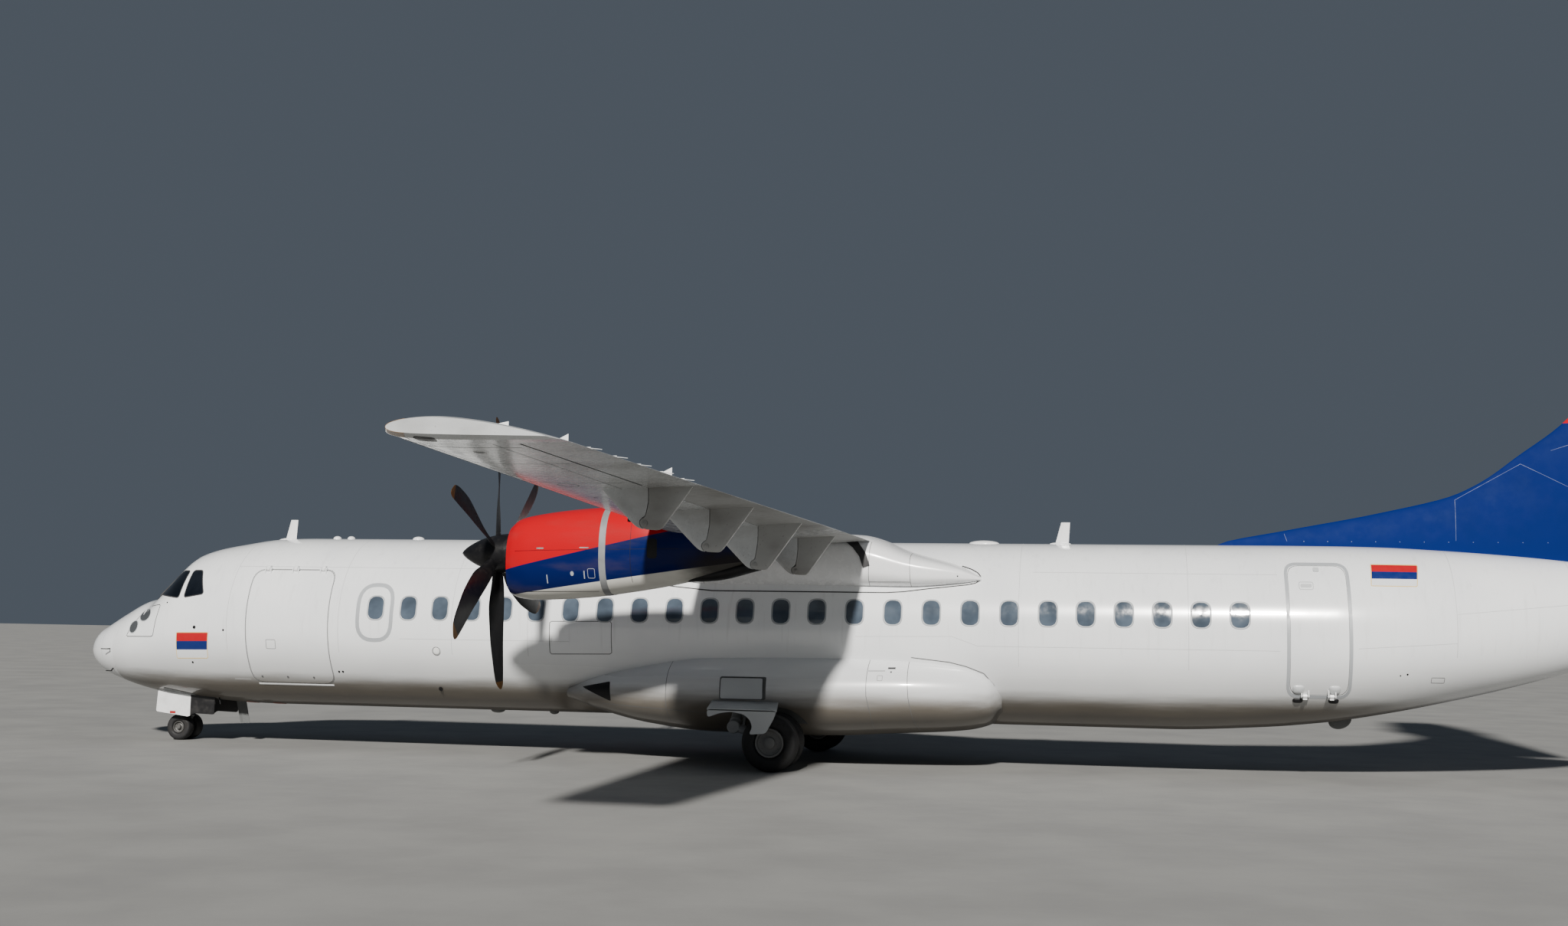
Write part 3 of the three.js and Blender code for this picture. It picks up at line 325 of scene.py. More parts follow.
def cutAway(thing, shape, finish):
    # Takes a closed shape out of a piece, and paints the cut faces with another finish
    tool = newMesh("tool", shape, finish)
    modifier = thing.modifiers.new("cut", "BOOLEAN")
    modifier.operation, modifier.solver = "DIFFERENCE", "EXACT"
    modifier.material_mode, modifier.object = "TRANSFER", tool
    view = bpy.context.evaluated_depsgraph_get()
    result = bpy.data.meshes.new_from_object(thing.evaluated_get(view))
    thing.modifiers.clear()
    name, old = thing.data.name, thing.data
    thing.data = result
    bpy.data.meshes.remove(old)
    result.name = name
    smoothed(result)
    bpy.data.objects.remove(tool)


def piece(name, shape, finish, body="root", slot="white_paint", replaces=()):
    thing = newMesh(name, shape, finish)
    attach(thing, body)
    if replaces:
        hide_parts(*replaces)
    return thing


def pair(name, shape, finish, body="root", slot="white_paint", replaces=()):
    # A port piece and its mirror image: {} in a body or a node stands for left or right
    return [piece(name + side.capitalize(), form, finish, body.format(side), slot,
                  [node.format(side) for node in replaces])
            for side, form in (("left", shape), ("right", mirrored(shape)))]


marks = {}  # small shapes on the body of the aircraft, gathered by finish


def mark(finish, *shapes):
    marks.setdefault(finish, []).extend(shapes)


# Finishes

class Nodes:
    # A short way to write a shader: each call adds a node and returns its first output
    def __init__(self, name):
        self.material = bpy.data.materials.new(name)
        self.material.use_nodes = True
        self.tree = self.material.node_tree
        self.shader = self.tree.nodes["Principled BSDF"]
        self.place = self.tree.nodes.new("ShaderNodeTexCoord").outputs["Object"]

    def put(self, kind, inputs=None, output=0, **settings):
        node = self.tree.nodes.new(kind)
        for key, value in settings.items():
            setattr(node, key, value)
        for key, value in (inputs or {}).items():
            self.link(node.inputs[key], value)
        return node.outputs[output]

    def link(self, socket, value):
        if isinstance(value, bpy.types.NodeSocket):
            self.tree.links.new(value, socket)
        elif socket.type == "RGBA":
            socket.default_value = (*value, 1.0)
        else:
            socket.default_value = value

    def math(self, operation, a, b=0.0, c=0.0):
        return self.put("ShaderNodeMath", {0: a, 1: b, 2: c}, operation=operation)

    def noise(self, scale, detail=4.0, stretch=(1, 1, 1), roughness=0.55):
        vector = self.put("ShaderNodeMapping", {"Vector": self.place, "Scale": stretch})
        return self.put("ShaderNodeTexNoise", {
            "Vector": vector, "Scale": scale, "Detail": detail, "Roughness": roughness})

    def ramp(self, value, low, high, a=0.0, b=1.0):
        return self.put("ShaderNodeMapRange", {
            "Value": value, "From Min": low, "From Max": high, "To Min": a, "To Max": b},
            interpolation_type="SMOOTHSTEP")

    def axis(self, k):
        return self.put("ShaderNodeSeparateXYZ", {0: self.place}, output=k)

    def station(self):
        return self.math("ADD", self.axis(0), halfLength)

    def mix(self, share, a, b):
        node = self.tree.nodes.new("ShaderNodeMix")
        node.data_type = "RGBA"
        for key, value in ((0, share), (6, a), (7, b)):
            self.link(node.inputs[key], value)
        return node.outputs[2]

    def bump(self, height, strength, distance=0.01):
        normal = self.put("ShaderNodeBump", {
            "Height": height, "Strength": strength, "Distance": distance})
        self.link(self.shader.inputs["Normal"], normal)

    def set(self, **values):
        for key, value in values.items():
            self.link(self.shader.inputs[key.replace("_", " ")], value)
        return self.material


def paint(name, colour, dirt, roughness=0.28, metallic=0.0, wear=0.12, grain=0.02, coat=0.0,
          gloss=0.5):
    # Paint with clouds of grime, fine specks and an uneven gloss
    n = Nodes(name)
    clouds = n.ramp(n.noise(1.3, 6, (0.6, 1, 1)), 0.42, 0.75, 0, wear)
    specks = n.ramp(n.noise(38, 3), 0.62, 0.74, 0, wear * 0.9)
    dirty = n.math("MAXIMUM", clouds, specks)
    colour = n.mix(dirty, colour, dirt)
    shine = n.ramp(n.noise(9, 5), 0.3, 0.7, roughness * 0.85, roughness * 1.25)
    n.bump(n.noise(26, 3), grain, 0.002)
    return n.set(Base_Color=colour, Roughness=shine, Metallic=metallic, Coat_Weight=coat,
                 Coat_Roughness=0.12, Specular_IOR_Level=gloss)


# The grime tones darken the lower skin: oil grime, and painted shade under the belly
skinTones = {
    "clean": [(0.85, 0.87, 0.88), (0.79, 0.81, 0.83)],
    "grime": [(0.036, 0.026, 0.013), (0.08, 0.06, 0.034)], "drips": 0.10, "film": 0.28,
}


def skinPaint(name, belly):
    # White fuselage paint: streaks run aft, and the belly is browned by oil and tyre dust and darkened
    # further as painted shade of the underside
    n = Nodes(name)
    streaks = n.noise(2.2, 6, (0.25, 1.0, 2.2))
    drips = n.ramp(n.noise(5.5, 4, (2.4, 1, 0.2)), 0.52, 0.78, 0, skinTones["drips"])
    ragged = n.math("MULTIPLY_ADD", streaks, -belly["ragged"], belly["ragged"] / 2)
    edge = n.math("ADD", n.axis(2), ragged)
    # Darker towards the bottom: grime, and painted shade of the underside
    low = n.ramp(edge, belly["foot"], belly["head"], belly["strength"], 0.0)
    film = n.ramp(edge, belly["filmFoot"], belly["filmHead"], skinTones["film"], 0.0)
    dirty = n.math("MAXIMUM", n.math("MAXIMUM", low, film), drips)
    grimeAndShadeTone = n.mix(n.noise(3.1, 5, (0.5, 1, 1)), *skinTones["grime"])
    lighter = n.mix(n.ramp(n.noise(0.7, 4), 0.35, 0.7), *skinTones["clean"])
    n.bump(n.noise(1.9, 2), 0.05, 0.01)
    return n.set(Base_Color=n.mix(dirty, lighter, grimeAndShadeTone), Roughness=n.ramp(dirty, 0, 0.6, 0.2, 0.5),
                 Coat_Weight=0.5, Coat_Roughness=0.08)


# Deep colours that more than one finish uses
livery = {"red": (0.44, 0.0, 0.008), "navy": (0.001, 0.007, 0.075), "tailBlue": (0.001, 0.012, 0.11),
          "black": (0.006, 0.006, 0.007)}
# Height and strength of the darkening towards the belly: grime and painted shade together
bellyGrimeAndShade = {  # how ragged, height and strength of the grime, and of the thin film above it
    "skin": {"ragged": 0.2, "foot": 0.98, "head": 1.42, "strength": 0.95, "filmFoot": 1.15,
             "filmHead": 2.0},
    "radome": {"ragged": 0.16, "foot": 1.0, "head": 1.3, "strength": 0.55, "filmFoot": 1.1,
               "filmHead": 1.7},
    "fairing": {"ragged": 0.26, "foot": 0.9, "head": 1.42, "strength": 0.93, "filmFoot": 1.1,
                "filmHead": 1.8},
}
finishes.update({
    "skin": skinPaint("whitePaint", bellyGrimeAndShade["skin"]),
    "radome": skinPaint("radomePaint", bellyGrimeAndShade["radome"]),
    "fairing": skinPaint("fairingPaint", bellyGrimeAndShade["fairing"]),
    # The wing's mid grey and its heavy dark clouds are dirt and painted shade of the underside
    "wing": paint("wingPaint", (0.54, 0.56, 0.57), (0.12, 0.105, 0.085), 0.26, wear=0.55, coat=0.3),
    "flap": paint("flapPaint", (0.36, 0.365, 0.36), (0.10, 0.09, 0.075), 0.36, wear=0.6),
    "white": paint("cleanWhite", (0.82, 0.83, 0.84), (0.45, 0.44, 0.42), 0.25, wear=0.1, coat=0.3),
    "pale": paint("paleGrey", (0.52, 0.54, 0.55), (0.3, 0.29, 0.27), 0.35, coat=0.3),
    # Gear grey, darker than the real paint as painted shade of the legs under the wing; its dark clouds are
    # grime and painted shade
    "grey": paint("gearGrey", (0.26, 0.27, 0.28), (0.05, 0.045, 0.04), 0.42, wear=0.6),
    "band": paint("outlineGrey", (0.36, 0.38, 0.40), (0.28, 0.28, 0.28), 0.4),
    "line": paint("seamGrey", (0.11, 0.112, 0.115), (0.06, 0.06, 0.06), 0.5),
    "red": paint("redPaint", livery["red"], (0.22, 0.006, 0.012), 0.34, gloss=0.12),
    "screen": paint("screenGrey", (0.05, 0.055, 0.06), (0.10, 0.10, 0.10), 0.5, wear=0.3),
    "boot": paint("bootRubber", (0.022, 0.023, 0.026), (0.07, 0.07, 0.07), 0.45, wear=0.25),
    "navyLine": paint("navyLine", (0.05, 0.08, 0.21), (0.02, 0.03, 0.10), 0.5, wear=0.3),
    "black": paint("satinBlack", livery["black"], (0.03, 0.027, 0.024), 0.45, wear=0.3, gloss=0.3),
    "bay": paint("bayGrey", (0.10, 0.105, 0.105), (0.03, 0.027, 0.024), 0.6, wear=0.5),
    "lining": paint("cabinLining", (0.50, 0.49, 0.46), (0.3, 0.29, 0.27), 0.55),
    "rubber": paint("sealRubber", (0.028, 0.028, 0.03), (0.08, 0.075, 0.07), 0.6, wear=0.25),
    "steel": paint("bareSteel", (0.50, 0.49, 0.47), (0.2, 0.17, 0.14), 0.34, metallic=0.9),
    "chrome": paint("oleoChrome", (0.75, 0.76, 0.78), (0.4, 0.4, 0.4), 0.12, metallic=1.0, wear=0.05),
    # Wheel paint, darkened as painted shade of the wheels under the wing; its heavy dark clouds are grime
    # and painted shade
    "hub": paint("wheelPaint", (0.18, 0.18, 0.175), (0.02, 0.018, 0.016), 0.5, wear=0.8),
    "faint": paint("faintSeam", (0.52, 0.53, 0.54), (0.4, 0.4, 0.4), 0.4),
    "rust": paint("rustRed", (0.16, 0.035, 0.02), (0.08, 0.05, 0.04), 0.5),
    "tagRed": paint("tagRed", (0.35, 0.008, 0.008), (0.2, 0.02, 0.02), 0.5),
})
stripeColours = {  # fresh and worn, from the top band down, and last the edge round them
    "stripeRed": [(0.42, 0.002, 0.008), (0.3, 0.03, 0.03)],
    "stripeBlue": [(0.003, 0.014, 0.12), (0.03, 0.05, 0.14)],
    "stripeWhite": [(0.72, 0.74, 0.76), (0.5, 0.5, 0.5)],
    "stripeEdge": [(0.75, 0.55, 0.22), (0.5, 0.4, 0.25)],
}
for name, (fresh, worn) in stripeColours.items():
    finishes[name] = paint(name, fresh, worn, 0.4, wear=0.05, coat=0.1)


def glass(name, colour, roughness, coat=1.0):
    # Dark tinted glass: opaque, deep and glossy, with a faint cloudiness
    n = Nodes(name)
    cloudy = [c * 1.9 + 0.004 for c in colour]
    tint = n.mix(n.ramp(n.noise(2.1, 3), 0.3, 0.75), colour, cloudy)
    n.bump(n.noise(3.5, 2), 0.03, 0.01)
    shine = n.ramp(n.noise(8, 3), 0.3, 0.7, roughness, roughness * 2.2)
    return n.set(Base_Color=tint, Roughness=shine, Coat_Weight=coat, Coat_Roughness=0.03,
                 Specular_IOR_Level=0.5)


def rubberTyre():
    # Dusty black rubber with fine scuffs round it
    n = Nodes("tyreRubber")
    dust = n.ramp(n.noise(11, 6), 0.45, 0.72, 0, 0.3)
    n.bump(n.noise(160, 4), 0.25, 0.0015)
    colour = n.mix(dust, (0.008, 0.008, 0.009), (0.04, 0.036, 0.03))
    return n.set(Base_Color=colour, Roughness=n.ramp(dust, 0, 0.3, 0.66, 0.92))


panesAndLenses = {  # colour, roughness, and the coat where it isn't full
    "cabinGlass": [(0.045, 0.06, 0.08), 0.06, 0.5], "flightGlass": [(0.001, 0.002, 0.004), 0.04, 0.1],
    "lensGlass": [(0.20, 0.115, 0.05), 0.08], "clearLens": [(0.55, 0.56, 0.55), 0.06],
}
for name, look in panesAndLenses.items():
    finishes[name] = glass(name, *look)
finishes["tyre"] = rubberTyre()
print("finishes ready")


# Fuselage

fuselage = {
    "sides": 160, "step": 0.09,
    # station, top, bottom, half width and height of the widest line
    "rows": [
        [0, 1.6, 1.48, 0.06, 1.54], [0.05, 1.735, 1.375, 0.2, 1.545], [0.17, 1.88, 1.245, 0.345, 1.552],
        [0.38, 2.0, 1.12, 0.52, 1.565], [0.8, 2.24, 0.972, 0.775, 1.6], [1.17, 2.425, 0.875, 0.95, 1.65],
        [1.4, 2.48, 0.83, 1.03, 1.7], [1.68, 2.76, 0.79, 1.115, 1.76], [2.2, 3.26, 0.735, 1.245, 1.88],
        [2.93, 3.425, 0.685, 1.365, 2.01], [3.6, 3.515, 0.668, 1.42, 2.08],
        [4.2, 3.5325, 0.6675, 1.4325, 2.1], [18.6, 3.5325, 0.6675, 1.4325, 2.1],
        [20.0, 3.533, 0.735, 1.43, 2.11], [21.0, 3.53, 0.84, 1.422, 2.12], [21.8, 3.518, 0.98, 1.37, 2.15],
        [22.7, 3.475, 1.18, 1.24, 2.24], [23.6, 3.415, 1.41, 1.05, 2.35], [24.5, 3.335, 1.68, 0.79, 2.48],
        [25.4, 3.215, 2.04, 0.5, 2.63], [26.1, 3.08, 2.43, 0.25, 2.76], [26.35, 2.96, 2.62, 0.11, 2.79]],
    "bay": {"front": 1.43, "rear": 2.57, "half": 0.362, "below": 0.2, "top": 1.24},
    "hold": (3.45, 5.45), "cabin": (16.5, 22.6), "wall": 0.1,
}
tubeAt = smoothTable(fuselage["rows"])


def tubeRound(uv, out=0.0):
    # The skin at a station and an angle from the top, in degrees, positive to port: an ellipse
    # whose upper and lower halves have their own heights
    top, bottom, half, waist = np.moveaxis(tubeAt(uv[..., 0]), -1, 0)
    angle = np.radians(uv[..., 1])
    rise = np.where(np.cos(angle) > 0, top - waist, waist - bottom)
    return np.stack([uv[..., 0], -(half + out) * np.sin(angle),
                     waist + (rise + out) * np.cos(angle)], -1)


def tubeSide(side):
    # The skin at a station and a height, on one side
    def at(uv, out=0.0):
        top, bottom, half, waist = np.moveaxis(tubeAt(uv[..., 0]), -1, 0)
        rise = np.where(uv[..., 1] > waist, top - waist, waist - bottom)
        sine = np.clip((uv[..., 1] - waist) / rise, -1, 1)
        cosine = np.sqrt(1 - sine ** 2)
        return np.stack([uv[..., 0], side * (half + out) * cosine,
                         waist + (rise + out) * sine], -1)
    return at


onPort, onStarboard = tubeSide(-1), tubeSide(1)


def tubeLength(front, rear, out=0.0, poles=False):
    # Rings of the tube between two stations, closer together at the very nose
    places = np.linspace(front, rear, max(4, int((rear - front) / fuselage["step"]) + 1))
    if front < 0.1:
        places = rear * np.linspace(0, 1, 22) ** 1.7
    angles = np.arange(fuselage["sides"]) / fuselage["sides"] * 360
    uv = np.stack(np.broadcast_arrays(places[:, None], angles[None]), -1)
    return skinned(tubeRound(uv, out), poles=poles)


doorKeys = ("side", "front", "rear", "foot", "head", "corner", "depth")
doorRows = {
    "cargo": (-1, 3.67, 5.13, 1.08, 2.95, 0.13, 0.1),
    "passenger": (-1, 20.35, 21.17, 1.29, 3.19, 0.11, 0.1),
    "service": (1, 20.45, 21.10, 1.56, 2.86, 0.09, 0.1),
    "exitLeft": (-1, 5.64, 6.27, 1.80, 2.74, 0.14, 0.06),
    "exitRight": (1, 5.64, 6.27, 1.80, 2.74, 0.14, 0.06),
}
doors = {name: dict(zip(doorKeys, row)) for name, row in doorRows.items()}
doorHoleForm = {"grow": 0.005, "inside": 0.3, "deep": 1.4}


def doorOutline(door, grow=0.0):
    return rectangle(door["front"] - grow, door["rear"] + grow, door["foot"] - grow, door["head"] + grow,
                     door["corner"] * 1.5, 120)


def doorHole(door):
    # A board through the skin in the outline of a door, from some way out from the centreline
    return uprightBoard(doorOutline(door, doorHoleForm["grow"]), door["side"] * doorHoleForm["inside"],
                        door["side"] * doorHoleForm["deep"])


def doorPanel(door, rings=18):
    return plate(tubeSide(door["side"]), doorOutline(door), 0.0, door["depth"], rings)


sections = {  # front and rear station, finish, slot and node
    "noseSkin": (0.8, 3.0, "skin", "white_paint", "nose_section"),
    "radomeSkin": (0, 0.7995, "radome", "radome_paint", "radome"),
    "forwardSkin": (3.0, 8.6, "skin", "white_paint", "forward_fuselage"),
    "centreSkin": (8.6, 16.4, "skin", "white_paint", "centre_fuselage"),
    "rearSkin": (16.4, 22.7, "skin", "white_paint", "rear_fuselage"),
    "tailSkin": (22.7, 26.35, "skin", "white_paint", "tail_cone"),
}
skins = {name: piece(name, tubeLength(front, rear), finish, slot=slot, replaces=[node])
         for name, (front, rear, finish, slot, node) in sections.items()}
bay = fuselage["bay"]
cutAway(skins["noseSkin"], block((bay["front"], -bay["half"], bay["below"]),
                                 (bay["rear"], bay["half"], bay["top"])), "bay")
cutAway(skins["forwardSkin"], tubeLength(*fuselage["hold"], -fuselage["wall"]), "bay")
cutAway(skins["forwardSkin"], doorHole(doors["cargo"]), "pale")
cutAway(skins["rearSkin"], tubeLength(*fuselage["cabin"], -fuselage["wall"]), "lining")
cutAway(skins["rearSkin"], doorHole(doors["passenger"]), "pale")
print("fuselage skins ready")

# Hinges of the two doors: an eye on the skin between two cheeks on the door
hinges = {
    "cargo": {"places": [3.9, 4.4, 4.9], "y": -1.165, "z": 2.967, "way": -1, "root": 0.085},
    "passenger": {"places": [20.57, 20.95], "y": -1.14, "z": 1.273, "way": 1, "root": 0.125},
}
eye = {"radius": 0.03, "half": 0.03, "footNear": 0.012, "footFar": 0.058, "cheek": 0.022, "cheekTall": 0.09,
       "pin": 0.014, "pinProud": 0.004}


def hingeParts(hinge):
    fixed, moving = [], []
    y, z, way = hinge["y"], hinge["z"], hinge["way"]
    near = eye["half"] + gap
    far = near + eye["cheek"]
    pinEnd = far + eye["pinProud"]
    footLow, footHigh = sorted([z - way * eye["footFar"], z - way * eye["footNear"]])
    cheekLow, cheekHigh = sorted([z, z + way * eye["cheekTall"]])
    for x in hinge["places"]:
        fixed += [rod((x - eye["half"], y, z), (x + eye["half"], y, z), eye["radius"]),
                  block((x - eye["half"], y, footLow), (x + eye["half"], y + hinge["root"], footHigh))]
        for a, b in ((near, far), (-far, -near)):
            moving += [rod((x + a, y, z), (x + b, y, z), eye["radius"]),
                       block((x + a, y - eye["radius"], cheekLow), (x + b, y + eye["radius"], cheekHigh))]
        moving.append(rod((x - pinEnd, y, z), (x + pinEnd, y, z), eye["pin"]))
    return joined(*fixed), joined(*moving)


cargoFixed, cargoMoving = hingeParts(hinges["cargo"])
passengerFixed, passengerMoving = hingeParts(hinges["passenger"])
piece("doorHingeEyes", joined(cargoFixed, passengerFixed), "white")
piece("cargoDoor", joined(doorPanel(doors["cargo"], 24), cargoMoving), "skin",
      "cargo_door", replaces=["cargo_door"])
piece("passengerDoor", joined(doorPanel(doors["passenger"]), passengerMoving), "skin",
      "passenger_door", replaces=["passenger_door"])
for name, door, node in (("serviceDoor", "service", "service_door"),
                         ("exitPort", "exitLeft", "emergency_exit_left"),
                         ("exitStarboard", "exitRight", "emergency_exit_right")):
    piece(name, doorPanel(doors[door]), "skin", replaces=[node])

# Cabin windows: a pane just proud of the skin inside a raised rim
windows = {
    "groups": [(6.54, 8.73, 5), (9.31, 12.73, 7), (13.3, 16.26, 6), (16.84, 19.64, 6)],
    "middle": 2.345, "rise": 0.0067, "tall": 0.183, "half": 0.129, "corner": 0.12,
    "pane": 0.001, "rimOut": 0.011, "rim": beadStrip(0.024, 0.006), "exit": 5.97,
}
windowPlaces = np.concatenate([np.linspace(*group) for group in windows["groups"]] + [[windows["exit"]]])


def windowOutline(place, grow=0.0):
    middle = windows["middle"] + windows["rise"] * (place - windows["exit"])
    half, tall = windows["half"] + grow, windows["tall"] + grow
    return rectangle(place - half, place + half, middle - tall, middle + tall, windows["corner"], 44)


panes = [plate(skin, windowOutline(place), windows["pane"])
         for skin in (onPort, onStarboard) for place in windowPlaces]
rims = [trim(skin, windowOutline(place, windows["rimOut"]), windows["rim"])
        for skin in (onPort, onStarboard) for place in windowPlaces]
piece("cabinPanes", joined(*panes), "cabinGlass", slot="dark_glass")
piece("cabinRims", joined(*rims), "band")

# Flight deck glazing: panes on the nose between white posts, each in a dark seal
flightDeck = {
    "front": [(1.435, 2.4), (1.985, 2.4), (2.0, 33), (1.62, 46)],  # station, degrees from the top
    "side": [[(1.66, 2.52), (2.24, 2.462), (2.26, 2.93), (2.07, 2.93)],
             [(2.356, 2.47), (2.76, 2.535), (2.555, 2.937), (2.346, 2.937)]],
    "pane": 0.003, "seal": beadStrip(0.02, 0.005), "frontCorner": 0.06, "sideCorner": 0.05,
    "degree": 0.02,  # a degree round the nose is about as long as this on the skin
}


def frontGlass(side):
    # The skin at a station and a way round from the top, the latter stretched to metres
    def at(uv, out=0.0):
        return tubeRound(np.stack([uv[..., 0], side * uv[..., 1] / flightDeck["degree"]], -1), out)
    return at


deckPanes, deckSeals = [], []
frontCorners = [(station, angle * flightDeck["degree"]) for station, angle in flightDeck["front"]]
for side, skin in ((-1, onPort), (1, onStarboard)):
    glazing = [(frontGlass(-side), polygon(frontCorners, flightDeck["frontCorner"], 96))]
    glazing += [(skin, polygon(corners, flightDeck["sideCorner"], 96)) for corners in flightDeck["side"]]
    for surface, outline in glazing:
        deckPanes.append(plate(surface, outline, flightDeck["pane"], rings=10))
        deckSeals.append(trim(surface, outline, flightDeck["seal"]))
piece("flightDeckPanes", joined(*deckPanes), "flightGlass", slot="dark_glass",
      replaces=["flight_deck_glazing"])
piece("flightDeckSeals", joined(*deckSeals), "rubber")
print("doors and windows ready")


# Marks on the fuselage: places are (station, height), or (station, degrees from the top)

def hoop(station, width=0.008, reach=110, count=121):
    # A seam over the tube, down to where the belly is too dirty to show it
    line = np.column_stack([np.full(count, station), np.linspace(-reach, reach, count)])
    return trim(tubeRound, line, flatStrip(width, 0.0008), closed=False)


def dot(surface, station, height, radius=0.018, proud=0.002):
    return plate(surface, oval(station, height, radius, radius, 20), proud, rings=3)


def bands(surface, corners):
    # Three level bands between the left and the right edge of a four-cornered panel
    topLeft, topRight, footRight, footLeft = np.array(corners)
    shares = np.linspace(0, 1, 4)[:, None]
    left = topLeft + (footLeft - topLeft) * shares
    right = topRight + (footRight - topRight) * shares
    outlines = [polygon([left[k], right[k], right[k + 1], left[k + 1]], 0.003, 80) for k in range(3)]
    return [plate(surface, outline, 0.0016, 0.003, 8) for outline in outlines]


nosePanel = {
    "outline": [(1.151, 1.79), (1.798, 1.801), (1.836, 2.348), (1.41, 2.3)], "line": 0.014,
    "screens": [(1.483, 2.163, 0.14, 0.1), (1.288, 1.956, 0.09, 0.1)],  # place and half sizes
    "rimOut": 0.006, "rim": (0.012, 0.003),
    "cover": [(1.57, 0.83), (1.696, 0.923), (2.258, 0.814), (2.16, 0.775)], "coverProud": 0.006,
    "drains": [2.544, 2.66], "drainHeight": 0.76, "drainUp": (0, 0, 0.02), "drainDown": (0.03, 0, -0.11),
    "drainRadius": 0.011,
}


def noseMarks(skin):
    # The smooth panel with its two screens, the cover beside the wheel bay, and two drains
    mark("line", border(skin, polygon(nosePanel["outline"], 0.05), nosePanel["line"]))
    for station, height, long, tall in nosePanel["screens"]:
        mark("screen", plate(skin, oval(station, height, long, tall)))
        rim = oval(station, height, long + nosePanel["rimOut"], tall + nosePanel["rimOut"])
        mark("band", border(skin, rim, *nosePanel["rim"]))
    mark("bay", plate(skin, polygon(nosePanel["cover"]), nosePanel["coverProud"], rings=8))
    for station in nosePanel["drains"]:
        foot = skin(np.array([station, nosePanel["drainHeight"]]))
        mark("black", rod(foot + nosePanel["drainUp"], foot + nosePanel["drainDown"],
                          nosePanel["drainRadius"]))


stripedPanels = {
    "corners": [[(2.313, 1.88), (2.949, 1.892), (2.902, 1.461), (2.291, 1.447)],
                [(21.559, 3.225), (22.226, 3.222), (22.168, 2.898), (21.52, 2.9)]],
    "edge": (0.012, 0.0022),
}


def stripedMarks(skin):
    for corners in stripedPanels["corners"]:
        for finish, band in zip(("stripeRed", "stripeBlue", "stripeWhite"), bands(skin, corners)):
            mark(finish, band)
        mark("stripeEdge", border(skin, polygon(corners, 0.003), *stripedPanels["edge"]))


skinMarks = {
    "hoops": [0.473, 3.3, 5.32, 7.3, 8.6, 16.4, 18.9, 22.69, 24.4],
    "seams": [
        [(3.3, 3.01), (13.2, 3.01)], [(6.4, 1.85), (9.3, 1.86)],
        [(13.911, 2.025), (15.394, 2.052), (15.789, 1.913)], [(15.789, 1.913), (20.2, 1.925)],
        [(21.3, 1.98), (22.69, 2.08)], [(3.3, 1.12), (3.6, 1.12)], [(16.6, 3.05), (20.2, 3.05)],
        [(22.7, 2.5), (25.2, 2.75)]],
    "seam": (0.007, 0.0008),
    "frame": [(8.97, 1.655), (10.0, 1.675), (10.0, 2.19), (8.97, 2.175)],  # ahead of the wing fairing
    "hatch": (22.351, 22.541, 1.5, 1.577),
    # station, height, radius, height over the skin
    "dots": [(2.676, 1.975, 0.026, 0.012), (3.242, 1.936), (2.585, 1.384), (2.0, 2.38, 0.014),
             (22.0, 1.62, 0.014), (21.9, 1.60, 0.01)],
    "portDots": [(5.256, 1.285), (5.325, 1.287), (6.967, 1.043, 0.03, 0.02)],
    "lamp": {"place": (7.033, 1.663), "radius": 0.06, "rim": 0.066, "proud": 0.02},
}


def fuselageMarks(skin):
    # Long seams, outlines of covers, small ports, and the lamp that looks back along the wing
    for line in skinMarks["seams"]:
        mark("faint", seam(skin, line, *skinMarks["seam"], 90))
    mark("line", border(skin, polygon(skinMarks["frame"], 0.03)))
    mark("line", border(skin, rectangle(*skinMarks["hatch"], 0.012), 0.007))
    mark("black", *[dot(skin, *row) for row in skinMarks["dots"]])
    lamp = skinMarks["lamp"]
    mark("clearLens", blister(skin, oval(*lamp["place"], lamp["radius"], lamp["radius"]), lamp["proud"]))
    mark("chrome", border(skin, oval(*lamp["place"], lamp["rim"], lamp["rim"]), 0.012, 0.006))


for station in skinMarks["hoops"]:
    mark("faint", hoop(station))
for skin in (onPort, onStarboard):
    noseMarks(skin)
    stripedMarks(skin)
    fuselageMarks(skin)
mark("black", *[dot(onPort, *row) for row in skinMarks["portDots"]])

# Outlines round the doors, each a width and a height over the skin, and how far out it runs
outlines = {
    "cargo": {"grow": 0.013, "strip": (0.01,)}, "service": {"grow": 0.0, "strip": (0.012,)},
    "passengerSeal": {"grow": 0.03, "strip": (0.045, 0.003)},
    "serviceSeal": {"grow": 0.025, "strip": (0.03, 0.002)},
    "exit": {"inset": 0.02, "corner": 0.3, "strip": (0.065, 0.002)},
}


def doorBorder(surface, door, outline):
    return border(surface, doorOutline(doors[door], outline["grow"]), *outline["strip"])


def exitBorder(door):
    # The broad grey band of an emergency exit, with rounder corners than its panel
    inset = outlines["exit"]["inset"]
    line = rectangle(door["front"] + inset, door["rear"] - inset, door["foot"] + inset,
                     door["head"] - inset, outlines["exit"]["corner"], 120)
    return border(tubeSide(door["side"]), line, *outlines["exit"]["strip"])


mark("band", exitBorder(doors["exitLeft"]), exitBorder(doors["exitRight"]),
     doorBorder(onPort, "passenger", outlines["passengerSeal"]),
     doorBorder(onStarboard, "service", outlines["serviceSeal"]))
mark("line", doorBorder(onPort, "cargo", outlines["cargo"]),
     doorBorder(onStarboard, "service", outlines["service"]))

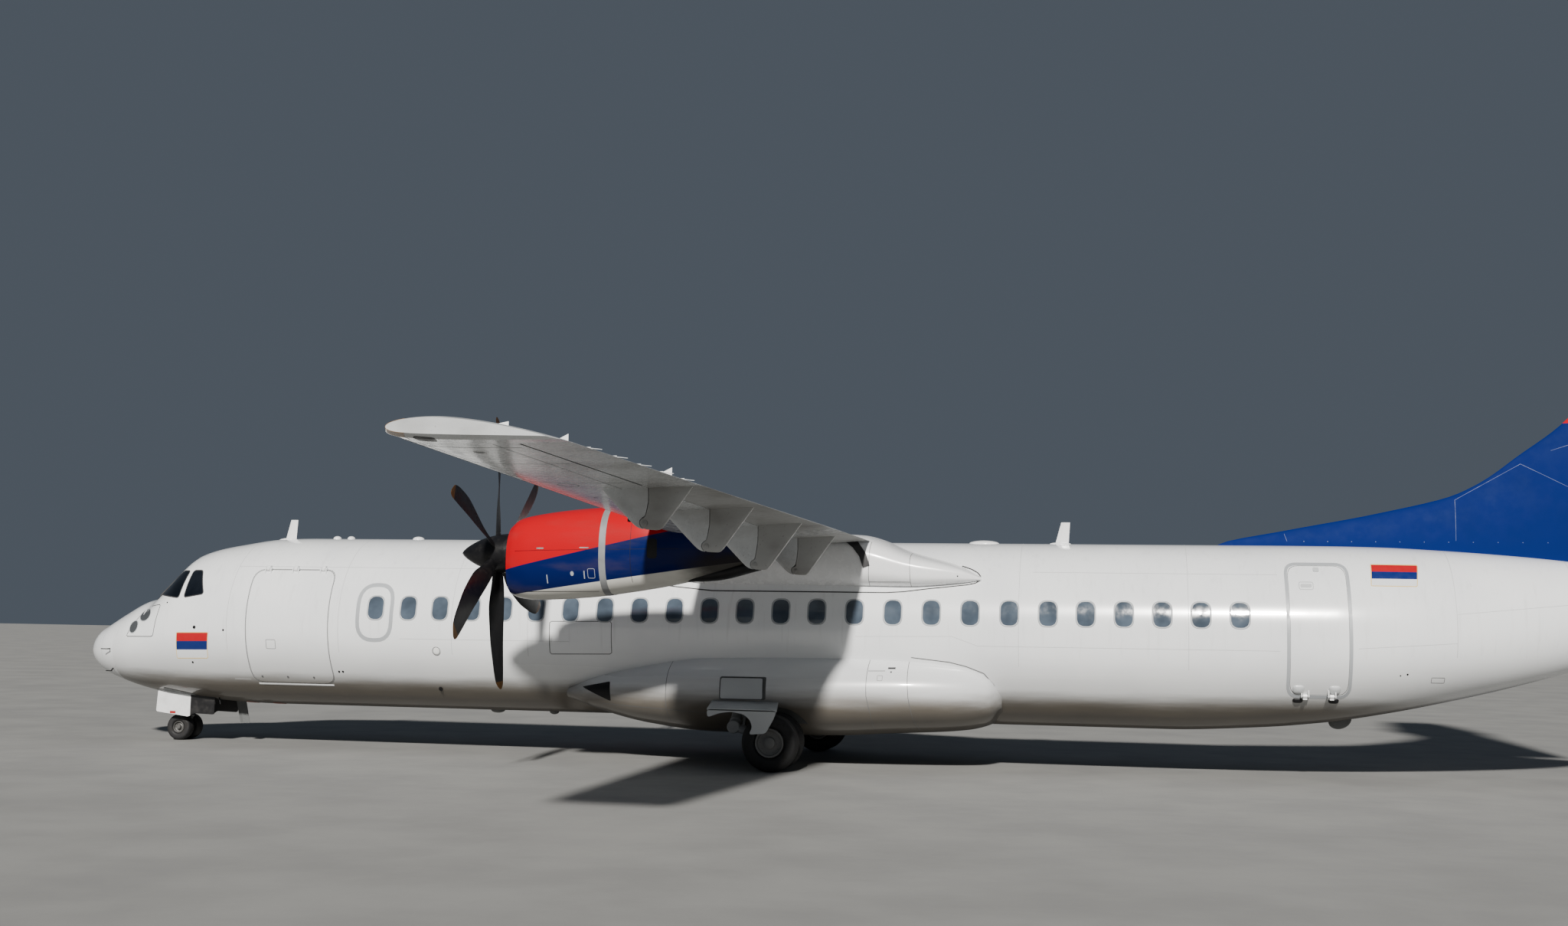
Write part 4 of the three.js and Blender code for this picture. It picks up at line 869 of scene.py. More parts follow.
# The cargo door's sill, and what rides on the door: three latches and a square cover
cargoForm = {
    "sill": [(3.72, 1.052), (5.08, 1.052)], "sillStrip": (0.02, 0.006),
    "latches": [3.835, 4.3, 4.769], "latchHeight": 1.18, "latchRadius": 0.015, "latchProud": 0.008,
    "cover": (4.027, 4.193, 1.644, 1.793),
}
mark("white", seam(onPort, cargoForm["sill"], *cargoForm["sillStrip"]))
cargoLatches = [dot(onPort, station, cargoForm["latchHeight"], cargoForm["latchRadius"],
                    cargoForm["latchProud"]) for station in cargoForm["latches"]]
cargoLatches.append(border(onPort, rectangle(*cargoForm["cover"]), 0.008))
piece("cargoDoorLatches", joined(*cargoLatches), "line", "cargo_door")

# Domes and covers on the roof and under the belly: station, angle, half length, degrees to
# each side, and height
domes = {
    "white": [(4.54, 0, 0.07, 3, 0.05), (4.8, 0, 0.065, 3, 0.05), (6.05, 0, 0.1, 4, 0.05),
              (15.77, 0, 0.24, 6, 0.05), (10.0, 0, 0.12, 4, 0.05), (3.6, 0, 0.16, 3.2, 0.03),
              (16.98, 0, 0.17, 3.2, 0.03)],
    "bay": [(21.2, 180, 0.17, 4, 0.13), (7.6, 180, 0.12, 4, 0.05), (8.6, 180, 0.08, 3, 0.05)],
}
for finish, rows in domes.items():
    mark(finish, *[blister(tubeRound, oval(*row[:4]), row[4]) for row in rows])
rustCovers = {"places": [(3.18, 172), (3.69, 172)], "half": (0.11, 5), "proud": 0.004}
for place in rustCovers["places"]:
    mark("rust", plate(tubeRound, oval(*place, *rustCovers["half"]), rustCovers["proud"], rings=4))

# Probes on the nose: a short mast with a tube that points forward
probes = {"places": [(0.74, 1.57, 0.13), (0.71, 1.23, 0.10)],  # station, height, reach forward
          "mast": 0.075, "mastRadius": 0.011, "tubeRadius": 0.0085, "tail": 0.02}
for station, height, reach in probes["places"]:
    foot, head = (onPort(np.array([station, height]), out) for out in (0.0, probes["mast"]))
    tube = rod(head + [probes["tail"], 0, 0], head - [reach, 0, 0], probes["tubeRadius"])
    mark("black", bothSides(joined(rod(foot, head, probes["mastRadius"]), tube)))

# Wipers: an arm from the foot of each front pane, and the blade that it holds
wiper = {"arm": [(1.44, 14), (1.66, 24)], "blade": [(1.56, 33), (1.92, 20)], "proud": 0.02,
         "armRadius": 0.008, "bladeRadius": 0.009}
wiperArm, wiperBlade = ([tubeRound(np.array(end), wiper["proud"]) for end in wiper[key]]
                        for key in ("arm", "blade"))
mark("rubber", bothSides(joined(rod(*wiperArm, wiper["armRadius"]),
                                rod(*wiperBlade, wiper["bladeRadius"]))))

# The passenger door's handle, latch and steps ride with it, and so do its two hinge covers
passengerForm = {
    "handle": (20.5, 20.7, 2.835, 2.945), "grip": (20.52, 20.68, 2.865, 2.915),
    "latch": (20.72, 20.804, 3.1, 3.16), "covers": [20.473, 20.988],
    # half width, foot, head, corner radius and height of a hinge cover on the door, and below it
    "cover": (0.085, 1.31, 1.43, 0.06, 0.035), "sillCover": (0.075, 1.17, 1.235, 0.05, 0.03),
    "steps": [1.5, 1.78, 2.06, 2.34, 2.62], "stepFront": 20.46, "stepRear": 21.06, "stepTall": 0.16,
    "stepInside": (-0.098, 0.112),  # both faces of a step, as a height over the skin and a depth
}


def hingeCovers(half, foot, head, corner, height):
    return [blister(onPort, rectangle(place - half, place + half, foot, head, corner), height)
            for place in passengerForm["covers"]]


def stepShape(z):
    outline = rectangle(passengerForm["stepFront"], passengerForm["stepRear"], z,
                        z + passengerForm["stepTall"], 0.03)
    return plate(onPort, outline, *passengerForm["stepInside"], 6)


handle = [border(onPort, rectangle(*passengerForm["handle"], 0.03), 0.012, 0.003),
          plate(onPort, rectangle(*passengerForm["grip"]), 0.006),
          plate(onPort, rectangle(*passengerForm["latch"]), 0.014)]
piece("passengerDoorFittings", joined(*handle, *hingeCovers(*passengerForm["cover"])),
      "pale", "passenger_door")
piece("passengerDoorSteps", joined(*[stepShape(z) for z in passengerForm["steps"]]),
      "rubber", "passenger_door")
mark("black", *hingeCovers(*passengerForm["sillCover"]))
print("fuselage details ready")

# Wing

wingRibs = np.array([  # distance out, leading edge station and z, chord, incidence, thickness
    [0, 11.5, 3.62, 2.6, 2.6, 0.18], [4.3, 11.5, 3.62, 2.6, 2.6, 0.18],
    [13.2, 11.621, 3.856, 1.6256, 3.37, 0.132], [13.42, 11.65, 3.853, 1.58, 3.4, 0.125],
    [13.525, 11.7, 3.86, 1.44, 3.4, 0.1]])
tailRibs = np.array([[0, 25.15, 7.4, 1.99, 0, 0.11], [3.655, 25.56, 7.4, 1.24, 0, 0.1]])
surfaces = {  # ends, hinge share, swing at the seam, drop of the turning line at each end, pods
    "flapInboard": {"inner": 1.56, "outer": 3.6, "line": 0.7, "swing": 2, "drop": (0.61, 0.61),
                    "pods": [3.1]},
    "flapOutboard": {"inner": 4.6, "outer": 9.88, "line": 0.7, "swing": 2, "drop": (0.68, 0.465),
                     "pods": [5.5, 7.6, 9.76]},
    "aileron": {"inner": 9.98, "outer": 13.12, "line": 0.7, "swing": 14, "drop": (0, 0), "pods": []},
    "elevator": {"inner": 0.3, "outer": 3.655, "line": 0.66, "swing": 23, "drop": (0, 0), "pods": []},
}


class Lift:
    # The port half of a wing or tailplane, from its ribs. A share is a part of the chord, and a
    # moving surface turns in a hollow: its round nose fills most of the section's depth there.
    noseShare = 0.86

    def __init__(self, ribs, camber):
        self.ribs, self.camber = ribs, camber

    def rib(self, y):
        # The ribs' columns at a distance out, by straight lines from rib to rib
        return np.array([np.interp(y, self.ribs[:, 0], column) for column in self.ribs.T])

    def half(self, rib, share):
        # The four-digit thickness curve, with a trailing edge that isn't quite sharp
        curve = (0.2969 * np.sqrt(share) - 0.126 * share - 0.3516 * share ** 2
                 + 0.2843 * share ** 3 - 0.1036 * share ** 4)
        return 5 * rib[5] * rib[3] * curve + 0.002 * share

    def mean(self, rib, share):
        # Two parabolas that meet at four tenths of the chord
        rise = 0.025 * rib[3] * self.camber
        return np.where(share < 0.4, rise / 0.16 * (0.8 * share - share ** 2),
                        rise / 0.36 * (0.2 + 0.8 * share - share ** 2))

    def place(self, rib, along, up):
        # A point of the section, turned nose up by the incidence
        angle = np.radians(rib[4])
        return np.stack([rib[1] + along * np.cos(angle) + up * np.sin(angle),
                         np.zeros(np.shape(along)) - rib[0],
                         rib[2] - along * np.sin(angle) + up * np.cos(angle)], -1)

    def skin(self, rib, share, face, out=0.0):
        # The mean line, and above it (1) or below it (-1) the half depth
        share = np.asarray(share, float)
        up = self.mean(rib, share) + face * (self.half(rib, share) + out)
        return self.place(rib, share * rib[3], up)

    def face(self, way):
        # The upper (1) or lower (-1) face at a distance out and a share of the chord
        return lambda uv, out=0.0: self.skin(self.rib(uv[..., 0]), np.clip(uv[..., 1], 0, 1), way, out)

    def boot(self, inner, outer, over, under, thick=0.002):
        # A thin cover bent round the leading edge
        above = over * np.linspace(1, 0, 9) ** 2
        below = under * np.linspace(0, 1, 9)[1:] ** 2
        share = np.concatenate([above, below])
        way = np.concatenate([np.ones(len(above)), -np.ones(len(below))])
        rows = []
        for y in np.linspace(inner, outer, 24):
            rib = self.rib(y)
            outside = self.skin(rib, share, way, thick) - [thick, 0, 0]
            inside = self.skin(rib, share[::-1], way[::-1], -thick)
            rows.append(np.concatenate([outside, inside]))
        return skinned(np.array(rows))

    def hinge(self, rib, line):
        # How far aft and up the hinge is, the half depth there, and the radius of the nose
        depth = float(self.half(rib, np.array(line)))
        return line * rib[3], float(self.mean(rib, np.array(line))), depth, depth * self.noseShare

    def whole(self, y, points=36):
        # The section over the top to its nose and back below, points crowded at both edges by a cosine
        rib = self.rib(y)
        share = (1 - np.cos(np.pi * np.linspace(0, 1, points))) / 2
        return np.concatenate([self.skin(rib, share[::-1], 1), self.skin(rib, share[1:], -1)])

    def coved(self, surface):
        # The section ahead of a moving surface, its back a hollow round that surface's nose
        def ring(y, points=30):
            rib = self.rib(y)
            along, up, _, nose = self.hinge(rib, surface["line"])
            lip = (along - gap) / rib[3]
            share = lip * (1 - np.cos(np.pi * np.linspace(0, 1, points))) / 2
            radius = nose + gap
            start = math.acos(-gap / radius)
            angle = np.linspace(2 * math.pi - start, start, 15)
            hollow = self.place(rib, along + radius * np.cos(angle), up + radius * np.sin(angle))
            over, under = self.skin(rib, share[::-1], 1), self.skin(rib, share[1:], -1)
            return np.concatenate([over, under, hollow])
        return ring

    def moving(self, surface):
        # A round nose about the hinge line, then the section's own tail
        def ring(y, points=9):
            rib = self.rib(y)
            along, up, depth, nose = self.hinge(rib, surface["line"])
            swing = math.radians(surface["swing"])
            start = surface["line"] + (depth * math.tan(swing) + 0.002) / rib[3]
            share = np.linspace(start, 1, points)
            angle = np.linspace(math.pi / 2 - swing, 1.5 * math.pi + swing, 19)
            arc = self.place(rib, along + nose * np.cos(angle), up + nose * np.sin(angle))
            return np.concatenate([self.skin(rib, share[::-1], 1), arc, self.skin(rib, share, -1)])
        return ring

    def turning(self, surface, y):
        # The turning line's frame at a distance out: its origin, then back, out and up
        def point(at, drop):
            rib = self.rib(at)
            along, up, *_ = self.hinge(rib, surface["line"])
            return self.place(rib, np.array(along), np.array(up - drop))
        inner, outer = (point(surface[end], drop) for end, drop in zip(("inner", "outer"), surface["drop"]))
        share = (y - surface["inner"]) / (surface["outer"] - surface["inner"])
        out = (outer - inner) / np.linalg.norm(outer - inner)
        up = point(y, 0) - point(y, 0.1)
        up -= out * up.dot(out)
        up /= np.linalg.norm(up)
        return inner + (outer - inner) * share, np.cross(up, out), out, up

    def stop(self, ring, y, surface=None):
        # A ring at a distance out, slid along the span on to the plane square to a turning line
        if surface is None:
            return ring(y)
        origin, _, out, _ = self.turning(surface, y)
        a, b = ring(y - 0.04), ring(y + 0.04)
        run, middle = b - a, (a + b) / 2
        return middle + run * (((origin - middle) @ out) / (run @ out))[:, None]

    def span(self, rings, steps):
        # Straight rows between stopped rings
        rows = [rings[0]]
        for a, b in zip(rings[:-1], rings[1:]):
            rows += [a + (b - a) * share for share in np.linspace(0, 1, steps + 1)[1:]]
        return skinned(np.array(rows))


wing, tail = Lift(wingRibs, 1.0), Lift(tailRibs, 0.0)


def movingSurface(lift, surface, inset=gap):
    ring = lift.moving(surface)
    a = lift.stop(ring, surface["inner"] + inset, surface)
    b = lift.stop(ring, surface["outer"] - inset, surface)
    return lift.span([a, b], 14)


def panel(lift, inner, outer, steps=8):
    # A stretch of wing between two stops, each a distance or a distance and its surface
    rings = [lift.stop(lift.whole, *inner)]
    rings += [lift.whole(y) for y in lift.ribs[:, 0] if inner[0] + 0.05 < y < outer[0] - 0.05]
    rings.append(lift.stop(lift.whole, *outer))
    return lift.span(rings, steps)


def covedPanel(lift, surface, steps=14):
    ring = lift.coved(surface)
    return lift.span([lift.stop(ring, surface[end], surface) for end in ("inner", "outer")], steps)


# Flap pods: a fixed front under the wing and a rear under the flap, parted by a curved seam
podForm = {  # measured from the turning line, aft and up
    "bottom": -0.06, "frontCorner": -0.095, "rearCorner": 0.165, "frontSlope": 0.9, "rearSlope": 1.54,
    "half": 0.062, "end": 0.012, "eye": 0.058, "hollow": 0.068, "bulge": 0.022, "bulgeFoot": 0.07,
    "soft": 0.022, "buried": 0.025, "upright": 0.02, "ahead": -0.03, "square": 0.35,
}
podBolt = [(0.03, 0), (0.028, 0.005), (0.014, 0.007), (0.012, 0.012)]  # radius, distance out


def podSeam(level, top, front):
    # The line between the halves: bulged aft, and round the eye that the flap turns about
    bulge = np.clip((level - podForm["bulgeFoot"]) / (top - podForm["bulgeFoot"]), 0, 1)
    split = podForm["bulge"] * np.sin(np.pi * bulge) - (gap if front else 0)
    radius = podForm["hollow"] if front else podForm["eye"]
    circle = -np.sqrt(np.maximum(radius ** 2 - level ** 2, 0))
    split = np.where(np.abs(level) < radius, circle, split)
    if front:
        split = np.where(level < 0, np.minimum(split, podForm["ahead"]), split)
    return split


def podKeel(s, top):
    # A soft maximum of three straight lines: one slopes down, one is level, one slopes up
    soft = podForm["soft"]
    lines = [0 * s, (podForm["frontCorner"] - s) * podForm["frontSlope"],
             (s - podForm["rearCorner"]) * podForm["rearSlope"]]
    low = podForm["bottom"] + soft * np.log(sum(np.exp(line / soft) for line in lines))
    return np.minimum(low, top - 0.015)


def podShape(surface, y, front):
    # Across, the root of a cosine; in depth, one less a low power of the sine, so the sides are steep
    origin, back, out, up = wing.turning(surface, y)
    share = (y - surface["inner"]) / (surface["outer"] - surface["inner"])
    innerDrop, outerDrop = surface["drop"]
    top = innerDrop + (outerDrop - innerDrop) * share - podForm["buried"]
    rise = top - podForm["bottom"] - podForm["upright"]
    first = podForm["frontCorner"] - rise / podForm["frontSlope"]
    last = podForm["rearCorner"] + rise / podForm["rearSlope"]
    half, end = podForm["half"], podForm["end"]
    widths = smoothTable([
        [first, end], [(first + podForm["frontCorner"]) / 2, 0.85 * half],
        [podForm["frontCorner"], half], [podForm["rearCorner"], 0.9 * half],
        [(last + podForm["rearCorner"]) / 2, 0.65 * half], [last, end]])
    beta = np.pi * np.linspace(0, 1, 33)[None]  # from one top edge under the keel to the other
    upright = 1 - np.sin(beta) ** podForm["square"]
    split = podSeam(podForm["bottom"] + (top - podForm["bottom"]) * upright, top, front)
    along = np.linspace(0, 1, 30)[:, None]
    s = first + (split - first) * along if front else split + (last - split) * along
    low = podKeel(s, top)
    w = -widths(s)[..., 0] * signedPower(np.cos(beta), 0.5)
    t = low + (top - low) * upright
    return skinned(origin + s[..., None] * back + w[..., None] * out + t[..., None] * up)


def podBolts(surface, y):
    # A bolt head on each side, where the flap's turning line passes
    origin, _, out, _ = wing.turning(surface, y)
    return joined(*[turned(podBolt, origin + way * out * (podForm["half"] - 0.002), way * out, 24)
                    for way in (-1, 1)])


def podFronts(surface):
    return [podShape(surface, y, True) for y in surface["pods"]]


def podRears(surface):
    return ([podShape(surface, y, False) for y in surface["pods"]]
            + [podBolts(surface, y) for y in surface["pods"]])


inboard, outboard, aileron, elevator = surfaces.values()
wingJoint, tipStart, tipLength = 4.5, wingRibs[2, 0], 0.3249  # the outer wing lies between the first two
hairline = 0.0003  # parts one piece of the wing from the next
centreHalf = joined(panel(wing, (0.0,), (inboard["inner"], inboard)), covedPanel(wing, inboard, 6),
                    panel(wing, (inboard["outer"], inboard), (wingJoint - hairline,), 4),
                    *podFronts(inboard))
piece("wingCentre", bothSides(centreHalf), "wing", replaces=["wing_centre"])
outerWing = joined(panel(wing, (wingJoint,), (outboard["inner"], outboard), 1),
                   covedPanel(wing, outboard, 20),
                   panel(wing, (outboard["outer"], outboard), (aileron["inner"], aileron), 1),
                   covedPanel(wing, aileron),
                   panel(wing, (aileron["outer"], aileron), (tipStart - hairline,), 1),
                   *podFronts(outboard))
tipPlaces = tipStart + tipLength * np.linspace(0, 1, 16) ** 0.8
pair("wing", outerWing, "wing", replaces=["wing_{}"])
pair("wingTip", skinned(np.array([wing.whole(y) for y in tipPlaces])), "wing",
     replaces=["wing_tip_{}"])
for name, node, finish in (("flapInboard", "flap_inboard_{}", "flap"),
                           ("flapOutboard", "flap_outboard_{}", "flap"), ("aileron", "aileron_{}", "wing")):
    shape = joined(movingSurface(wing, surfaces[name]), *podRears(surfaces[name]))
    pair(name, shape, finish, node, replaces=[node])

# Small things on the wing: places are (distance out, share of the chord)
upper, lower = wing.face(1), wing.face(-1)
wingForm = {
    "ribs": [5.15, 6.9, 8.6, 10.3, 11.8, 12.9], "ribEnds": (0.13, 0.66),
    "spans": [0.12, 0.55], "spanEnds": (4.6, 13.1),
    "covers": [(5.6, 0.3), (6.6, 0.3), (7.7, 0.3), (8.9, 0.31), (10.1, 0.31)], "coverHalf": (0.13, 0.055),
    # inner and outer end, and how far back over and under the edge
    "boots": [(4.75, 9.6, 0.075, 0.05), (9.62, 13.1, 0.08, 0.055)], "tipLens": (13.28, 13.524, 0.12, 0.12),
    # distance out, front and rear share, height
    "finlets": [(9.0, 0.6, 0.69, 0.12), (12.0, 0.6, 0.69, 0.1), (13.0, 0.5, 0.6, 0.05)],
    "patch": [(13.26, 0.17), (13.47, 0.17), (13.45, 0.3), (13.24, 0.27)], "lamp": (12.6, 0.35, 0.07, 0.04),
    "sensor": [(11.62, -6.06, 3.50), (11.72, -5.98, 3.60)], "wicks": [10.3, 10.9, 11.5, 12.1, 12.7],
}


def finlet(y, foot, head, high, thick=0.006):
    # A thin three-cornered fin that stands on the upper skin between two shares of the chord
    a, b = upper(np.array([y, foot])), upper(np.array([y, head]))
    side = np.array([a - [0, 0, 0.01], b - [0, 0, 0.01], b + [0, 0, high]])
    return slab(side - [0, thick / 2, 0], (0, thick, 0))


def wick(y, length=0.11):
    # A thin rod behind the trailing edge, on a small foot
    end = wing.skin(wing.rib(y), 0.985, 1)
    return joined(rod(end, end + [length, 0, -0.012], 0.0035, sides=8),
                  block(end - [0.05, 0.008, 0.002], end + [0.005, 0.008, 0.012], 0.002))


def onWings(finish, *shapes):
    mark(finish, *[bothSides(shape) for shape in shapes])


for place in wingForm["ribs"]:
    line = [(place, share) for share in wingForm["ribEnds"]]
    onWings("line", *[seam(face, line, 0.007) for face in (upper, lower)])
for share in wingForm["spans"]:
    line = [(place, share) for place in wingForm["spanEnds"]]
    onWings("line", *[seam(face, line, 0.004, count=90) for face in (upper, lower)])
for place in wingForm["covers"]:
    onWings("line", border(lower, oval(*place, *wingForm["coverHalf"]), 0.006))
onWings("boot", *[wing.boot(*row) for row in wingForm["boots"]])
onWings("lensGlass", wing.boot(*wingForm["tipLens"], 0.003))
onWings("white", *[finlet(*row) for row in wingForm["finlets"]])
onWings("boot", plate(lower, polygon(wingForm["patch"], 0.03)))
onWings("clearLens", plate(lower, oval(*wingForm["lamp"]), 0.004))
onWings("black", block(*wingForm["sensor"]))
pair("wicks", joined(*[wick(y) for y in wingForm["wicks"]]), "pale", "aileron_{}")
print("wing ready")


# Fairings over the root of the wing and round the landing gear

def ovalRing(top, bottom, half, power, count, grow=0.0):
    # A rounded box, out and up: signed powers of the cosine and the sine of the angle round it
    angle = roundAngles(count)
    across = (half + grow) * signedPower(np.cos(angle), power)
    up = (top + bottom) / 2 + ((top - bottom) / 2 + grow) * signedPower(np.sin(angle), power)
    return across, up


def ovalRows(rows, count, power, steps, y=0.0, grow=0.0):
    # Rounded boxes along the aircraft, from a table of station, top, bottom and half width
    places = np.linspace(rows[0][0], rows[-1][0], steps)
    across, up = ovalRing(*smoothTable(rows)(places).T[..., None], power, count, grow)
    x = np.broadcast_to(places[:, None], (steps, count))
    return np.stack([x, y + across, up], -1)


rootFairing = {"power": 0.6, "rows": [
    [10.25, 3.44, 2.9, 1.04], [10.9, 3.6, 2.78, 1.4], [11.6, 3.7, 2.71, 1.5], [13.9, 3.63, 2.71, 1.5],
    [14.72, 3.36, 2.725, 1.45], [15.5, 3.15, 2.81, 1.345], [15.82, 2.985, 2.885, 1.225]]}
gearFairing = {"power": 0.8, "rows": [
    [9.2, 1.18, 0.9, 1.15], [9.7, 1.42, 0.72, 1.42], [10.5, 1.64, 0.54, 1.65], [11.5, 1.8, 0.44, 1.8],
    [13.2, 1.84, 0.43, 1.83], [14.5, 1.83, 0.5, 1.77], [15.5, 1.78, 0.57, 1.61],
    [15.96, 1.6, 0.69, 1.41], [16.13, 1.24, 0.88, 1.11]],
    "wellRadius": 0.502, "wellInside": 1.56, "wellDepth": 1.2}
mainGear = {"x": 12.78, "y": 2.05, "radius": 0.432, "width": 0.254, "twin": 0.43, "rim": 0.215,
            "bolts": 10, "grooves": (-0.24, -0.08, 0.08, 0.24)}
piece("rootFairing", skinned(ovalRows(rootFairing["rows"], 200, rootFairing["power"], 110)),
      "white", replaces=["wing_root_fairing"])
gearBox = piece("gearFairing", skinned(ovalRows(gearFairing["rows"], 200, gearFairing["power"], 120)),
                "fairing", replaces=["belly_fairing", "gear_sponson_left", "gear_sponson_right"])
for way in (-1, 1):
    well = [(gearFairing["wellRadius"], 0), (gearFairing["wellRadius"], gearFairing["wellDepth"])]
    start = (mainGear["x"], way * gearFairing["wellInside"], mainGear["radius"])
    cutAway(gearBox, turned(well, start, (0, way, 0), 96), "bay")


def ovalSkin(rows, power, middle=0.0, way=-1):
    # The skin of a rounded box at a station and a height, on its port (-1) or starboard (1) side
    table = smoothTable(rows)

    def at(uv, out=0.0):
        top, bottom, half = np.moveaxis(table(uv[..., 0]), -1, 0)
        up = np.clip((uv[..., 1] - (top + bottom) / 2) / ((top - bottom) / 2), -1, 1)
        across = (1 - np.abs(up) ** (2 / power)) ** (power / 2)
        height = uv[..., 1] + out * up * np.abs(up)
        return np.stack([uv[..., 0], middle + way * (half * across + out), height], -1)
    return at


gearMarks = {
    "seams": [[(14.141, 1.698), (14.136, 1.317), (14.141, 1.135), (14.199, 0.856), (14.207, 0.6)],
              [(14.742, 1.687), (14.755, 1.364), (14.772, 1.125), (14.831, 0.784), (14.883, 0.62)],
              [(11.0, 1.6), (11.0, 0.65)], [(12.0, 0.8), (9.9, 0.9)], [(14.15, 1.509), (14.406, 1.515)]],
    "slot": [(14.445, 1.555), (14.56, 1.557)], "port": (14.5, 1.5, 0.012),
    "cover": (14.3, 14.376, 1.37, 1.445), "lamp": [(9.5, 1.15), (10.02, 1.25), (10.05, 0.94)],
    "door": [(11.89, 1.357), (12.55, 1.361), (12.553, 1.05), (11.89, 1.045)], "doorProud": 0.022,
    "behindDoor": [(11.87, 1.38), (12.6, 1.385), (12.6, 1.04), (11.87, 1.03)],
    "edge": [(14.771, 1.72), (15.354, 1.66), (15.609, 1.6), (15.874, 1.5), (16.018, 1.33), (16.1, 1.1)],
}
rootMarks = {
    "rim": [(15.51, 3.135), (15.66, 3.085), (15.76, 3.03), (15.81, 2.97), (15.81, 2.92), (15.74, 2.87),
            (15.6, 2.84), (15.3, 2.805), (15.03, 2.775), (14.63, 2.722),
            (14.36, 2.705), (11.6, 2.7), (10.9, 2.765), (10.4, 2.86), (10.23, 2.95)],
    "seams": [[(14.13, 3.49), (14.103, 2.74)], [(14.735, 3.33), (14.755, 2.77)],
              [(14.11, 2.865), (14.755, 2.87)], [(11.5, 3.6), (11.45, 2.73)]],
    "strip": [(13.78, 3.52), (13.9, 3.43), (14.02, 3.28), (14.08, 3.1)], "port": (15.47, 2.97, 0.012),
}


def markGearFairing(box, skin):
    # Seams, the dark lamp window in front, the square door that stands proud, and the rear edge
    mark("line", *[seam(box, line, 0.009, 0.001, 60) for line in gearMarks["seams"]])
    mark("line", border(box, rectangle(*gearMarks["cover"], 0.01), 0.006))
    mark("line", seam(skin, gearMarks["edge"], 0.012, 0.004, 60))
    mark("rubber", seam(box, gearMarks["slot"], 0.025, 0.003))
    door = polygon(gearMarks["door"])
    mark("pale", plate(box, door, gearMarks["doorProud"], 0.002, 8))
    mark("bay", plate(box, polygon(gearMarks["behindDoor"]), 0.003, rings=8))
    mark("black", dot(box, *gearMarks["port"]), border(box, door, 0.014, 0.018),
         plate(box, polygon(gearMarks["lamp"], 0.03), 0.003, rings=8))


def markRootFairing(crown, skin):
    # The seal along its foot, its seams, and the broad seal behind the wing
    mark("line", *[seam(crown, line, 0.008, 0.001, 40) for line in rootMarks["seams"]])
    mark("rubber", seam(skin, rootMarks["rim"], 0.016, 0.004, 160),
         seam(crown, rootMarks["strip"], 0.11, 0.02, 30))
    mark("black", dot(crown, *rootMarks["port"]))


for way, skin in ((-1, onPort), (1, onStarboard)):
    markGearFairing(ovalSkin(gearFairing["rows"], gearFairing["power"], 0.0, way), skin)
    markRootFairing(ovalSkin(rootFairing["rows"], rootFairing["power"], 0.0, way), skin)
print("fairings ready")

# Tail

finForm = {
    "hinge": [(25.35, 3.3), (26.33, 7.1)], "back": [(26.42, 3.33), (26.96, 7.09)], "swing": 27,
    "edge": [[3.15, 19.0, 0.175], [3.56, 19.45, 0.172], [3.77, 20.43, 0.168], [4.03, 21.75, 0.163],
             [4.34, 22.95, 0.158], [4.98, 23.92, 0.145], [5.43, 24.5, 0.137], [6.2, 25.13, 0.123],
             [7.16, 25.6, 0.105]],
    "red": 5.42, "foot": 3.15, "head": 7.16, "full": 0.75, "hollow": 0.86, "nose": 0.84,
    "rudder": (3.345, 7.09),
    "seams": [
        [(22.92, 4.25), (22.905, 3.62)], [(22.92, 4.25), (23.87, 4.8)], [(23.87, 4.8), (24.505, 4.45)],
        [(24.505, 4.45), (25.3, 4.6)], [(24.3, 5.0), (25.5, 5.4)], [(20.41, 3.72), (20.45, 3.6)],
        [(24.9, 5.6), (25.8, 6.0)]],
    "rivets": (20.7, 25.2, 0.35), "rivetHeight": 3.6, "rivetRadius": 0.007,
}
finEdge = smoothTable(finForm["edge"])  # front station and half thickness, against the height


def lineAt(line, z):
    (xa, za), (xb, zb) = line
    return xa + (xb - xa) * (z - za) / (zb - za)


def finRing(z, points=26):
    # Pointed in front, round in the middle, and hollow behind round the nose of the rudder
    front, half = finEdge(z)
    hinge = lineAt(finForm["hinge"], z)
    nose = half * finForm["hollow"] + gap
    lip = math.acos(-gap / nose)
    share = np.linspace(0, 1, points) ** 2
    x = front + (hinge - gap - front) * share
    y = half * np.sin(np.pi / 2 * share) ** finForm["full"]
    angle = np.linspace(lip, 2 * math.pi - lip, 13)
    xs = np.concatenate([x[1:][::-1], x, hinge + nose * np.cos(angle)])
    ys = np.concatenate([-y[1:][::-1], y, nose * np.sin(angle)])
    return np.column_stack([xs, ys, np.full(len(xs), z)])


def rudderRing(z):
    # A round nose about the hinge line, and sides that close to a thin trailing edge
    half = finEdge(z)[1]
    nose = half * finForm["nose"]
    hinge, back = lineAt(finForm["hinge"], z), lineAt(finForm["back"], z)
    swing = math.radians(finForm["swing"])
    start = hinge + half * math.tan(swing) + 0.01
    share = np.linspace(1, 0, 8)
    x = start + (back - start) * share
    y = 0.003 + (half * 0.96 - 0.003) * (1 - share) ** 0.9
    angle = np.linspace(math.pi / 2 - swing, 1.5 * math.pi + swing, 19)
    xs = np.concatenate([x, hinge + nose * np.cos(angle), x[::-1]])
    ys = np.concatenate([y, nose * np.sin(angle), -y[::-1]])
    return np.column_stack([xs, ys, np.full(len(xs), z)])


